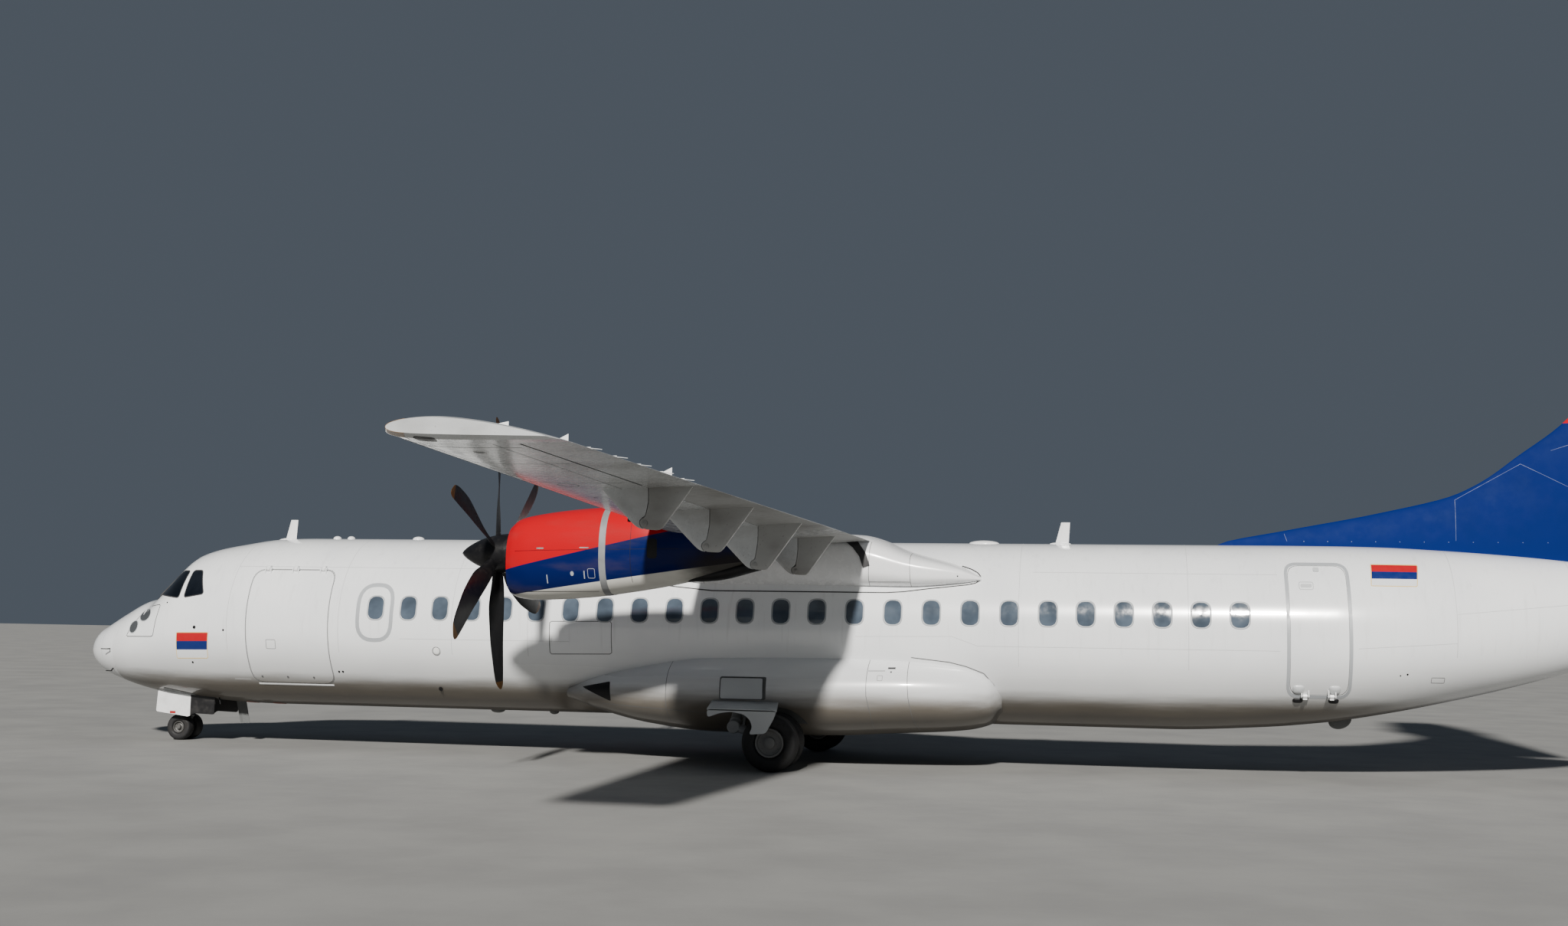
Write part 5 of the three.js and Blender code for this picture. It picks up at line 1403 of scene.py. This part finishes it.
def tailPaint():
    # Navy fin with a red head
    n = Nodes("tailPaint")
    head = n.ramp(n.axis(2), finForm["red"] - 0.004, finForm["red"] + 0.004)
    colour = n.mix(head, livery["tailBlue"], livery["red"])
    cloud = n.ramp(n.noise(1.6, 5), 0.4, 0.75, 0, 0.15)
    colour = n.mix(cloud, colour, (0.003, 0.014, 0.07))
    return n.set(Base_Color=colour, Roughness=n.ramp(n.noise(5, 4), 0.3, 0.7, 0.5, 0.58),
                 Specular_IOR_Level=0.04)


finishes["tail"] = tailPaint()
finRows = np.concatenate([np.linspace(finForm["foot"], 4.4, 26), np.linspace(4.5, finForm["head"], 28)])
piece("finSkin", skinned(np.array([finRing(z) for z in finRows])), "tail", slot="navy_paint",
      replaces=["fin"])
piece("rudderSkin", skinned(np.array([rudderRing(z) for z in np.linspace(*finForm["rudder"], 16)])),
      "tail", "rudder", "navy_paint", ["rudder"])


def onFin(way):
    # The side of the fin at a station and a height
    def at(uv, out=0.0):
        front, half = np.moveaxis(finEdge(uv[..., 1]), -1, 0)
        length = lineAt(finForm["hinge"], uv[..., 1]) - gap - front
        share = np.clip((uv[..., 0] - front) / length, 0, 1)
        side = half * np.sin(np.pi / 2 * share) ** finForm["full"] + out
        return np.stack([uv[..., 0], way * side, uv[..., 1]], -1)
    return at


for way in (-1, 1):
    mark("navyLine", *[seam(onFin(way), line, 0.005, 0.001) for line in finForm["seams"]])
    mark("navyLine", *[dot(onFin(way), place, finForm["rivetHeight"], finForm["rivetRadius"])
                       for place in np.arange(*finForm["rivets"])])

# The tailplane, and the bullet that it crosses on the head of the fin
bulletForm = {
    "front": 24.98, "rear": 27.166, "z": 7.4, "radius": 0.245,
    "rows": [[0, 0.12], [0.06, 0.55], [0.2, 0.9], [0.4, 1], [0.7, 0.86], [0.92, 0.5], [1, 0.2]],
}
elevatorEnd = 3.64
shares = np.linspace(0, 1, 60)
bulletProfile = np.column_stack([smoothTable(bulletForm["rows"])(shares)[:, 0] * bulletForm["radius"],
                                 shares * (bulletForm["rear"] - bulletForm["front"])])
bullet = turned(bulletProfile, (bulletForm["front"], 0, bulletForm["z"]), (1, 0, 0), 64)
tailHalf = joined(panel(tail, (0.0,), (elevator["inner"], elevator), 2), covedPanel(tail, elevator))
piece("tailplaneSkin", joined(bullet, bothSides(tailHalf)), "red", slot="red_paint",
      replaces=["tailplane"])
pair("elevator", movingSurface(tail, {**elevator, "outer": elevatorEnd + gap}), "red",
     "elevator_{}", "red_paint", ["elevator_{}"])
print("tail ready")

# Nacelles and propellers

nacelle = {
    "rows": [
        [9.34, 3.55, 2.56, 0.37], [9.45, 3.64, 2.515, 0.43], [9.7, 3.705, 2.49, 0.49],
        [10.45, 3.8, 2.53, 0.525], [11.2, 3.84, 2.63, 0.53], [11.8, 3.77, 2.74, 0.49],
        [12.4, 3.6, 2.89, 0.38], [12.9, 3.48, 3.06, 0.24], [13.15, 3.44, 3.18, 0.12]],
    "power": 0.85, "redLine": [(9.39, 2.92), (11.43, 3.39)], "whiteLine": [(9.49, 2.57), (11.43, 2.86)],
    # The near black low on the rear is exhaust soot and painted shade under the wing
    "white": (0.66, 0.65, 0.60), "grime": (0.10, 0.075, 0.06), "sootAndShade": (0.022, 0.019, 0.017),
    "sootAndShadeFrom": (11.75, 12.35), "sootAndShadeUnder": (3.05, 3.35), "band": (10.76, 10.86), "bandProud": 0.004,
    "intake": [[9.15, 2.79, 2.59, 0.24], [9.75, 2.76, 2.62, 0.18]],
    "lip": {"station": 9.345, "z": 2.69, "half": 0.239, "tall": 0.099, "long": 0.016, "thick": 0.014},
    "exhaust": [[11.9, 2.905, 2.77, 0.18], [12.3, 2.965, 2.79, 0.19], [12.96, 3.11, 2.945, 0.17]],
    "exhaustPower": 0.8, "exhaustWall": 0.012,
}
nacelleMarks = {  # places are (station, height), and a seam ends with its width and height
    "cover": (10.6, 10.7, 2.8, 2.93), "port": (10.37, 2.86, 0.025, 0.032),
    "slits": [(9.99, 10.005, 2.72, 2.84), (10.54, 10.555, 2.79, 2.9)],
    "slots": [(10.48, 10.62, 3.215, 3.23, 0.006), (9.84, 9.95, 3.2, 3.22, 0.008)],
    "grille": (11.46, 11.6, 3.08, 3.36, 0.05),
    "seams": [([(9.5, 3.17), (10.71, 3.2)], 0.005, 0.0008), ([(10.9, 3.2), (11.9, 3.22)], 0.005),
              ([(11.22, 2.75), (11.22, 3.7)], 0.006, 0.0008), ([(9.62, 2.6), (10.71, 2.62)], 0.006, 0.0008)],
}
propeller = {
    "station": 9.08, "y": 4.05, "z": 3.15, "blades": 6, "phase": 3,
    # distance from the hub, chord, thickness, pitch in degrees, sweep aft
    "rows": [[0.2, 0.15, 0.11, 44, 0], [0.28, 0.165, 0.1, 42, 0], [0.42, 0.2, 0.07, 38, 0],
             [0.8, 0.3, 0.038, 25, -0.02], [1.2, 0.32, 0.026, 15, -0.01], [1.6, 0.29, 0.017, 9, 0.04],
             [1.86, 0.225, 0.011, 6, 0.095], [1.965, 0.1, 0.007, 4, 0.15]],
    "tipFrom": (1.85, 1.86), "tip": (0.10, 0.045, 0.008), "wornTip": (0.045, 0.026, 0.012),
    "worn": (0.025, 0.023, 0.021),
    "spinnerTip": 8.53, "spinnerBase": 9.32, "spinnerRadius": 0.285,
}
nacelleAt = smoothTable(nacelle["rows"])


def aboveLine(n, line, soft=0.003):
    # One above and nought below a straight line through two (station, z) points
    (firstStation, firstZ), (lastStation, lastZ) = line
    rise = (lastZ - firstZ) / (lastStation - firstStation)
    level = n.math("MULTIPLY_ADD", n.station(), -rise, rise * firstStation - firstZ)
    return n.ramp(n.math("ADD", n.axis(2), level), -soft, soft)


def nacellePaint():
    # Red above navy above white: two lines that rise going aft, then soot round the exhaust, low on the
    # rear, which is also painted shade under the wing
    n = Nodes("nacellePaint")
    lower = n.mix(aboveLine(n, nacelle["whiteLine"]), nacelle["white"], livery["navy"])
    colour = n.mix(aboveLine(n, nacelle["redLine"]), lower, livery["red"])
    grime = n.ramp(n.noise(2.6, 6, (0.35, 1, 1.4)), 0.45, 0.75, 0, 0.22)
    colour = n.mix(grime, colour, nacelle["grime"])
    cloud = n.noise(3.2, 5, (0.5, 1, 1.2))
    ragged = n.math("MULTIPLY_ADD", cloud, 0.55, -0.27)
    # Near black low on the rear of the nacelle: exhaust soot and painted shade under the wing
    start = n.ramp(n.math("ADD", n.station(), ragged), *nacelle["sootAndShadeFrom"])
    below = n.ramp(n.math("ADD", n.axis(2), ragged), *nacelle["sootAndShadeUnder"], 1, 0)
    sootAndShade = n.math("MULTIPLY", n.math("MULTIPLY", start, below), 0.93)
    colour = n.mix(sootAndShade, colour, nacelle["sootAndShade"])
    n.bump(n.noise(28, 3), 0.02, 0.002)
    shine = n.ramp(sootAndShade, 0, 0.9, 0.3, 0.7)
    return n.set(Base_Color=colour, Roughness=shine, Specular_IOR_Level=0.12)


def bladePaint(side, way):
    # Black blades with coloured tips: the distance from the shaft sets the colour
    n = Nodes("bladePaint" + side.capitalize())
    y = n.math("SUBTRACT", n.axis(1), way * propeller["y"])
    z = n.math("SUBTRACT", n.axis(2), propeller["z"])
    reach = n.math("SQRT", n.math("ADD", n.math("MULTIPLY", y, y), n.math("MULTIPLY", z, z)))
    worn = n.ramp(n.noise(14, 5), 0.5, 0.72, 0, 0.35)
    colour = n.mix(worn, livery["black"], propeller["worn"])
    tip = n.mix(worn, propeller["tip"], propeller["wornTip"])
    colour = n.mix(n.ramp(reach, *propeller["tipFrom"]), colour, tip)
    n.bump(n.noise(60, 4), 0.06, 0.001)
    shine = n.ramp(n.noise(7, 4), 0.3, 0.7, 0.32, 0.5)
    return n.set(Base_Color=colour, Roughness=shine, Specular_IOR_Level=0.3)


def nacelleBand(front, rear, out, buried=-0.01, edge=0.002, count=96):
    # A strap round the nacelle: four rings, two over the skin and two under it
    rows = []
    for place, grow in ((front, buried), (front + edge, out), (rear - edge, out), (rear, buried)):
        across, up = ovalRing(*nacelleAt(place), nacelle["power"], count, grow)
        rows.append(np.column_stack([np.full(count, place), across - propeller["y"], up]))
    return skinned(np.array(rows), looped=True)


def intakeLip():
    # A round bead along an oval in front of the intake
    lip = nacelle["lip"]
    bead, way = roundAngles(12)[None], roundAngles(64)[:, None]
    out = lip["thick"] * np.sin(bead)
    return skinned(np.stack(np.broadcast_arrays(
        lip["station"] + lip["long"] * np.cos(bead),
        -propeller["y"] + (lip["half"] + out) * np.cos(way),
        lip["z"] + (lip["tall"] + out) * np.sin(way)), -1), looped=True)


def exhaustPipe():
    # The outside of the pipe from front to rear, then some way back inside it
    outer, inner = (ovalRows(nacelle["exhaust"], 64, nacelle["exhaustPower"], 16, -propeller["y"], grow)
                    for grow in (0.0, -nacelle["exhaustWall"]))
    return skinned(np.concatenate([outer, inner[:7:-1]]))


def bladeShape(turn):
    # Sections along the blade: a round nose, a flat belly and a thin tail, turned by the pitch
    root, radius = propeller["rows"][0][0], propeller["rows"][-1][0]
    reach = radius - (radius - root) * (1 - np.linspace(0, 1, 44)) ** 1.4
    chord, thick, pitch, sweep = smoothTable(propeller["rows"])(reach).T[..., None]
    r = reach[:, None]
    near = np.clip((radius - r) / 0.05, 0, 1)  # the last 50 mm round off to the tip
    chord = chord * np.sqrt(1 - (1 - near) ** 2 * 0.75)
    beta = roundAngles(28)[None]
    share = (1 - np.cos(beta)) / 2  # 0 at the nose, 1 at the tail
    form = np.sign(np.sin(beta)) * (np.sqrt(share) * (1 - share) * 1.55 + 0.02)
    edge = (share - 0.5) * chord + sweep
    lift = form * thick * np.where(np.sin(beta) > 0, 0.62, 0.38)
    angle = np.radians(pitch)
    x = propeller["station"] + edge * np.sin(angle) + lift * np.cos(angle)
    across = edge * np.cos(angle) - lift * np.sin(angle)
    s, c = math.sin(turn), math.cos(turn)
    y, z = r * c - across * s - propeller["y"], r * s + across * c + propeller["z"]
    return skinned(np.stack([x, y, z], -1))


def spinnerShape():
    # The radius follows the sine of a power of the distance from the tip
    share = np.linspace(0, 1, 30)
    radius = propeller["spinnerRadius"] * np.sin(math.pi / 2 * share ** 0.75) + 0.002
    length = propeller["spinnerBase"] - propeller["spinnerTip"]
    tip = (propeller["spinnerTip"], -propeller["y"], propeller["z"])
    return turned(np.column_stack([radius, share * length]), tip, (1, 0, 0), 72)


nacelleShape = skinned(ovalRows(nacelle["rows"], 128, nacelle["power"], 110, -propeller["y"]))
intakeShape = skinned(ovalRows(nacelle["intake"], 64, 1.0, 8, -propeller["y"]))
finishes["nacelle"] = nacellePaint()
shells = pair("nacelle", nacelleShape, "nacelle", slot="nacelle_paint",
              replaces=["nacelle_{}", "engine_{}"])
for shell, intake in zip(shells, (intakeShape, mirrored(intakeShape))):
    cutAway(shell, intake, "bay")
pair("exhaust", exhaustPipe(), "black", slot="engine_metal")
pair("nacelleTrim", joined(nacelleBand(*nacelle["band"], nacelle["bandProud"]), intakeLip()),
     "grey", slot="engine_metal")
firstBlade = math.pi / 2 + math.radians(propeller["phase"])
blades = [bladeShape(firstBlade + turn) for turn in roundAngles(propeller["blades"])]
propellerShape = joined(spinnerShape(), *blades)
for side, way in (("left", -1), ("right", 1)):
    shift = (0, (1 + way) * propeller["y"], 0)  # no mirror image: both propellers turn the same way
    finishes[f"blade_{side}"] = bladePaint(side, way)
    piece(f"propeller{side.capitalize()}", moved(propellerShape, shift), f"blade_{side}",
          f"propeller_{side}", "blade_black", [f"propeller_{side}"])


def markNacelle(face):
    # A cover, a port and two slits low down, two slots higher up, the grille aft, and seams
    onWings("band", border(face, rectangle(*nacelleMarks["cover"]), 0.006),
            plate(face, oval(*nacelleMarks["port"]), 0.003),
            *[plate(face, rectangle(*slit, 0.005), 0.003) for slit in nacelleMarks["slits"]])
    onWings("steel", *[plate(face, rectangle(*slot), 0.003) for slot in nacelleMarks["slots"]])
    onWings("black", plate(face, rectangle(*nacelleMarks["grille"])),
            *[seam(face, *line) for line in nacelleMarks["seams"]])


for way in (-1, 1):
    markNacelle(ovalSkin(nacelle["rows"], nacelle["power"], -propeller["y"], way))
print("nacelles and propellers ready")

# Wheels

tyreForm = {"crown": 0.62, "wall": 0.72, "grooveHalf": 0.0155, "grooveDepth": 0.0175}  # shares of the radius
hubForm = {
    # share of the rim's radius, and of half the width, from the inside out
    "dish": [(0.82, 0.55), (0.6, 0.42), (0.42, 0.5), (0.4, 0.95), (0.3, 1.08), (0.12, 1.1)],
    "bolts": 0.71, "boltFoot": 0.46, "bolt": 0.05, "boltHead": 0.03,
}


def tyreShape(x, y, z, radius, width, rim, grooves, sides=96):
    # A rounded section carried round the axle, with grooves sunk into the tread
    angle = np.linspace(-math.pi / 2, 1.5 * math.pi, 130, endpoint=False)
    s, c = np.sin(angle), np.cos(angle)
    r = (radius + rim) / 2 + (radius - rim) / 2 * signedPower(s, tyreForm["crown"])
    off = width / 2 * signedPower(c, tyreForm["wall"])
    for groove in grooves:
        near = np.abs(off - groove * width) < tyreForm["grooveHalf"] * radius
        r = np.where(near & (s > 0.5), r - tyreForm["grooveDepth"] * radius, r)
    turn = roundAngles(sides)[:, None]
    grid = np.stack(np.broadcast_arrays(x + r * np.cos(turn), y + off, z + r * np.sin(turn)), -1)
    return skinned(grid, looped=True)


def hubShape(x, y, z, rim, width, way, bolts):
    # A dished wheel with a lip, a web, a cap and a ring of bolts, seen from one side
    half = width * 0.4
    drum = [(rim - 0.004, -half), (rim + 0.002, -half + 0.004), (rim - 0.002, 0),
            (rim + 0.002, half - 0.006), (rim - 0.006, half), (rim * 0.88, half - 0.004)]
    dish = [(rim * radius, half * out) for radius, out in hubForm["dish"]]
    parts = [turned(drum + dish, (x, y, z), (0, way, 0), 64)]
    bolt = [(rim * hubForm["bolt"], 0), (rim * hubForm["bolt"], 0.009), (rim * hubForm["boltHead"], 0.012)]
    ring = rim * hubForm["bolts"]
    for turn in roundAngles(bolts):
        at = (x + ring * math.cos(turn), y + way * half * hubForm["boltFoot"], z + ring * math.sin(turn))
        parts.append(turned(bolt, at, (0, way, 0), 8))
    return joined(*parts)


def twinWheel(name, body, y, gear):
    x, z, half = gear["x"], gear["radius"], gear["twin"] / 2
    for where, way in (("port", -1), ("starboard", 1)):
        piece(f"{body.replace('_', '')}{where.capitalize()}Tyre",
              tyreShape(x, y + way * half, z, z, gear["width"], gear["rim"], gear["grooves"]),
              "tyre", body, "tyre", [f"{name}_tyre_{where}"])
    hubs = [hubShape(x, y + way * half, z, gear["rim"], gear["width"], way, gear["bolts"])
            for way in (-1, 1)]
    axle = rod((x, y - half, z), (x, y + half, z), gear["rim"] * 0.22)
    piece(f"{body.replace('_', '')}Hub", joined(*hubs, axle), "hub", body, "wheel_metal",
          [f"{name}_hub"])


noseGear = {"x": 1.8, "radius": 0.225, "width": 0.19, "twin": 0.29, "rim": 0.098, "bolts": 8,
            "grooves": (-0.16, 0.16)}
for side, way in (("left", -1), ("right", 1)):
    twinWheel(f"main_wheel_{side}", f"main_wheels_{side}", way * mainGear["y"], mainGear)
twinWheel("nose_wheel", "nose_wheels", 0.0, noseGear)
print("wheels ready")

# Landing gear: smooth legs with their chrome, hoses and links, and flat doors

mainLeg = {
    "x": 12.17, "top": (-1.58, 1.05), "knee": 0.64, "radius": 0.078, "arm": 0.06,
    "lugs": (0.1, 0.092), "lugHalf": 0.062, "collars": (0.12, 0.45, 0.78), "collarLong": 0.06,
    "collarOut": 0.01, "shock": 0.046, "shockFoot": (0.14, 0.6), "shockHead": (0.11, -1.64, 1.03),
    "hose": 0.008, "hoses": (-0.05, 0.035), "hosePlaces": (0.05, 0.3, 0.6, 0.9), "hoseEnd": (-0.16, 0.11),
}
mainDoor = {
    "shelf": [(11.757, -1.78, 1.015), (12.793, -1.78, 1.015), (12.906, -2.458, 0.926),
              (11.841, -2.458, 0.926)],
    "leaf": [(11.841, 0.915), (12.903, 0.915), (12.852, 0.78), (12.74, 0.575), (12.484, 0.556),
             (12.54, 0.659), (12.503, 0.771), (12.408, 0.85), (12.208, 0.886), (12.032, 0.86),
             (11.846, 0.792)],
    "leafY": -2.458, "thick": 0.026, "ribs": (11.95, 12.72), "ribWide": 0.03,
    "ribEnds": [(-2.43, 0.86), (-1.8, 0.90)],
}
# The nose leg, from the axle's station: rods by their ends, radius, softened edge and sides
noseLeg = {
    "rods": [((0, 0, 0.62), (0, 0, 1.235), 0.072, 0.008, 40), ((0, 0, 0.66), (0, 0, 0.72), 0.084, 0.006, 40),
             ((0.03, 0, 0.7), (0.725, 0, 1.16), 0.034)],
    "mount": [(0.68, -0.06, 1.09), (0.77, 0.06, 1.22)],
    "lampBar": [(-0.06, -0.12, 0.8), (-0.06, 0.12, 0.8)], "lamps": [(-0.09, -0.11, 0.8), (-0.09, 0.11, 0.8)],
    "lampBowl": [(0.03, 0.05), (0.055, 0.0), (0.06, 0.0), (0.062, 0.008), (0.04, 0.06)], "lampGlass": 0.053,
}
noseFork = {
    "rods": [((0, 0, 0.54), (0, 0, 0.605), 0.064, 0.008, 40), ((0, 0, 0.275), (0, 0, 0.34), 0.05, 0.006, 32),
             ((0.14, -0.03, 0.42), (0.14, 0.03, 0.42), 0.016),
             *[((0.14, y, 0.42), (0.05, y, z), 0.009) for y in (-0.024, 0.024) for z in (0.56, 0.27)]],
    "blocks": [((0.02, -0.018, 0.4), (0.15, 0.018, 0.44)),
               ((-0.245, -0.028, 0.2), (-0.03, 0.028, 0.25), 0.008)],
    "lug": ((0, -0.045, 0.225), (0, 0.045, 0.225), 0.062, 0.03),
    "stem": ((0, 0, 0.3), (0, 0, 0.78), 0.042, 0.004, 40),
}
noseDoor = {
    "outline": [(1.5, 1.0), (2.58, 0.9), (2.57, 0.468), (2.174, 0.48), (2.09, 0.422), (1.467, 0.498)],
    "y": -0.377, "thick": 0.024, "whiteUntil": 2.12, "white": (0.78, 0.79, 0.8),
    "dark": (0.008, 0.008, 0.009), "grime": (0.05, 0.045, 0.04),
    "tag": [(1.734, 0.47), (1.841, 0.511)], "tagProud": 0.004,
}


def between(a, b, share):
    return np.array(a) + (np.array(b) - np.array(a)) * share


wheelAt = np.array([mainGear["x"], -mainGear["y"], mainGear["radius"]])
legTop = np.array([mainLeg["x"], *mainLeg["top"]])
knee = np.array([mainLeg["x"], wheelAt[1], mainLeg["knee"]])
shockFoot = np.array([mainLeg["x"] + mainLeg["shockFoot"][0], wheelAt[1], mainLeg["shockFoot"][1]])
shockHead = np.array([mainLeg["x"], 0, 0]) + mainLeg["shockHead"]


def mainLegShape():
    # The leg with its collars, the trailing arm between its two lugs, and the shock absorber's body
    half = np.array([0, mainLeg["lugHalf"], 0])
    parts = [rod(legTop, knee, mainLeg["radius"], 0.01, 40), rod(knee, wheelAt, mainLeg["arm"], 0.01, 32)]
    parts += [rod(at - half, at + half, radius, 0.012, 40)
              for at, radius in zip((knee, wheelAt), mainLeg["lugs"])]
    for share in mainLeg["collars"]:
        ends = [between(legTop, knee, share + more) for more in (0, mainLeg["collarLong"])]
        parts.append(rod(*ends, mainLeg["radius"] + mainLeg["collarOut"], 0.006, 40))
    parts += [rod(between(shockFoot, shockHead, 0.4), shockHead, mainLeg["shock"], 0.008, 32),
              rod(shockFoot, between(shockFoot, shockHead, 0.1), mainLeg["shock"] + 0.004, 0.008, 32)]
    return joined(*parts)


def mainHoses():
    # Two hoses that sag a little from the leg, and end at the wheel
    hoses = []
    for offset in mainLeg["hoses"]:
        line = []
        for share in mainLeg["hosePlaces"]:
            sag = mainLeg["radius"] + mainLeg["hose"] * math.sin(4 * share)
            line.append(between(legTop, knee, share) + [offset, -0.02, -sag])
        line.append(wheelAt + [mainLeg["hoseEnd"][0], offset, mainLeg["hoseEnd"][1]])
        hoses.append(piped(line, mainLeg["hose"], 10, 40))
    return joined(*hoses)


def mainDoorShape():
    # A sloping shelf over the wheel, the arched leaf below its edge, and two ribs under it
    shelf = slab(mainDoor["shelf"], (0, 0, -mainDoor["thick"]))
    leaf = uprightBoard(polygon(mainDoor["leaf"], 0.05, 120), mainDoor["leafY"], mainDoor["thick"])
    low, high = mainDoor["ribEnds"]
    ribs = [block((x, *low), (x + mainDoor["ribWide"], *high)) for x in mainDoor["ribs"]]
    return joined(shelf, leaf, *ribs)


def noseDoorPaint():
    # White ahead, and dark with grime behind the split
    n = Nodes("noseDoorPaint")
    split = noseDoor["whiteUntil"]
    plain = n.mix(n.ramp(n.station(), split - 0.004, split), noseDoor["white"], noseDoor["dark"])
    grime = n.ramp(n.noise(6, 5), 0.4, 0.75, 0, 0.2)
    n.bump(n.noise(30, 3), 0.02, 0.002)
    return n.set(Base_Color=n.mix(grime, plain, noseDoor["grime"]),
                 Roughness=n.ramp(grime, 0, 0.2, 0.35, 0.55))


def atNose(points):
    # Points given from the station of the nose wheels' axle
    return np.array(points) + [noseGear["x"], 0, 0]


def noseRods(rows):
    return [rod(*atNose([start, end]), *rest) for start, end, *rest in rows]


pair("mainLeg", mainLegShape(), "grey", slot="gear_paint", replaces=["main_gear_leg_{}"])
mark("chrome", bothSides(rod(shockFoot, between(shockFoot, shockHead, 0.42), mainLeg["shock"] * 0.72,
                             0.004, 32)))
mark("rubber", bothSides(mainHoses()))
pair("mainDoor", mainDoorShape(), "pale", replaces=["main_gear_door_{}"])
finishes["noseDoor"] = noseDoorPaint()
pair("noseDoor", uprightBoard(polygon(noseDoor["outline"], 0.03, 120), noseDoor["y"], -noseDoor["thick"]),
     "noseDoor", replaces=["nose_gear_door_{}"])
noseDoorFace = noseDoor["y"] - noseDoor["thick"]
(tagFront, tagFoot), (tagRear, tagHead) = noseDoor["tag"]
mark("tagRed", block((tagFront, noseDoorFace - noseDoor["tagProud"], tagFoot),
                     (tagRear, noseDoorFace + noseDoor["tagProud"] / 2, tagHead)))
piece("noseLeg", joined(*noseRods(noseLeg["rods"]), block(*atNose(noseLeg["mount"]))),
      "grey", slot="gear_paint", replaces=["nose_gear_leg"])
for front in atNose(noseLeg["lamps"]):
    mark("pale", turned(noseLeg["lampBowl"], front, (1, 0, 0), 32))
    mark("clearLens", rod(front - [0.002, 0, 0], front + [0.004, 0, 0], noseLeg["lampGlass"], 0.002, 32))
mark("pale", rod(*atNose(noseLeg["lampBar"]), 0.012))
lugStart, lugEnd, lugOuter, lugBore = noseFork["lug"]
forkBlocks = [block(*atNose([low, high]), *rest) for low, high, *rest in noseFork["blocks"]]
piece("noseFork", joined(*noseRods(noseFork["rods"]), *forkBlocks,
                         collar(*atNose([lugStart, lugEnd]), lugOuter, lugBore)),
      "grey", "nose_steering", "gear_paint", ["nose_gear_fork"])
piece("noseStem", *noseRods([noseFork["stem"]]), "chrome", "nose_steering", "gear_paint")
print("landing gear ready")

# Nodes of the frame that keep their shape

kept = {"aerial_roof_front": "white", "aerial_roof_rear": "white", "aerial_belly": "bay"}
for node, finish in kept.items():
    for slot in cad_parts[node].material_slots:
        slot.material = finishes[finish]

# Small shapes gathered by finish
for finish, shapes in marks.items():
    piece("marks" + finish[0].upper() + finish[1:], joined(*shapes), finish)
print("marks ready")

# Floor, light and camera

stageForm = {
    "floor": 160.0, "floorTones": [(0.23, 0.23, 0.225), (0.27, 0.27, 0.26)],
    "sun": (-0.086, 0.858, -0.506), "sunSize": 3, "sunPower": 6.6, "sunColour": (1.0, 0.965, 0.91),
    "sky": (0.66, 0.79, 0.98), "skyPower": 0.12,
}


def floorFinish():
    n = Nodes("paleFloor")
    return n.set(Base_Color=n.mix(n.ramp(n.noise(0.6, 5), 0.3, 0.7), *stageForm["floorTones"]),
                 Roughness=n.ramp(n.noise(2, 4), 0.3, 0.7, 0.75, 0.9))


floorMesh = bpy.data.meshes.new("floor")
far = stageForm["floor"]
floorMesh.from_pydata([(-far, -far, 0), (far, -far, 0), (far, far, 0), (-far, far, 0)], [],
                      [(0, 1, 2, 3)])
floorMesh.materials.append(floorFinish())
floor = bpy.data.objects.new("floor", floorMesh)
bpy.context.scene.collection.objects.link(floor)
world = bpy.data.worlds.new("sky")
bpy.context.scene.world = world
world.use_nodes = True
background = world.node_tree.nodes["Background"]
background.inputs["Color"].default_value = (*stageForm["sky"], 1)
background.inputs["Strength"].default_value = stageForm["skyPower"]
sunData = bpy.data.lights.new("softSun", "SUN")
sunData.energy, sunData.angle = stageForm["sunPower"], math.radians(stageForm["sunSize"])
sunData.color = stageForm["sunColour"]
sun = bpy.data.objects.new("softSun", sunData)
d, u, _ = frameAlong(stageForm["sun"])
turn = np.column_stack([u, np.cross(-d, u), -d])
sun.matrix_world = Matrix(turn.tolist()).to_4x4()
bpy.context.scene.collection.objects.link(sun)

# The place that the photograph was taken from: degrees, and millimetres for the lens and its sensor
cameraForm = {"station": 17.803, "y": -26.519, "z": 2.284, "yaw": 11.39, "pitch": 5.41, "roll": 0.948,
              "lens": 37.64, "sensor": 36.0, "farEnd": 500.0}
yaw, pitch, roll = (math.radians(cameraForm[key]) for key in ("yaw", "pitch", "roll"))
ahead = np.array([-math.sin(yaw) * math.cos(pitch), math.cos(yaw) * math.cos(pitch), math.sin(pitch)])
level = np.array([math.cos(yaw), math.sin(yaw), 0.0])
above = np.cross(level, ahead)
right = level * math.cos(roll) + above * math.sin(roll)
top = above * math.cos(roll) - level * math.sin(roll)
camera = bpy.data.objects.new("camera", bpy.data.cameras.new("camera"))
camera.data.lens, camera.data.sensor_width = cameraForm["lens"], cameraForm["sensor"]
camera.data.clip_end = cameraForm["farEnd"]
spot = (cameraForm["station"] - halfLength, cameraForm["y"], cameraForm["z"])
rows = np.column_stack([right, top, -ahead, spot])
camera.matrix_world = Matrix(rows.tolist() + [[0, 0, 0, 1]])
bpy.context.scene.collection.objects.link(camera)
bpy.context.scene.camera = camera

print("scene ready")
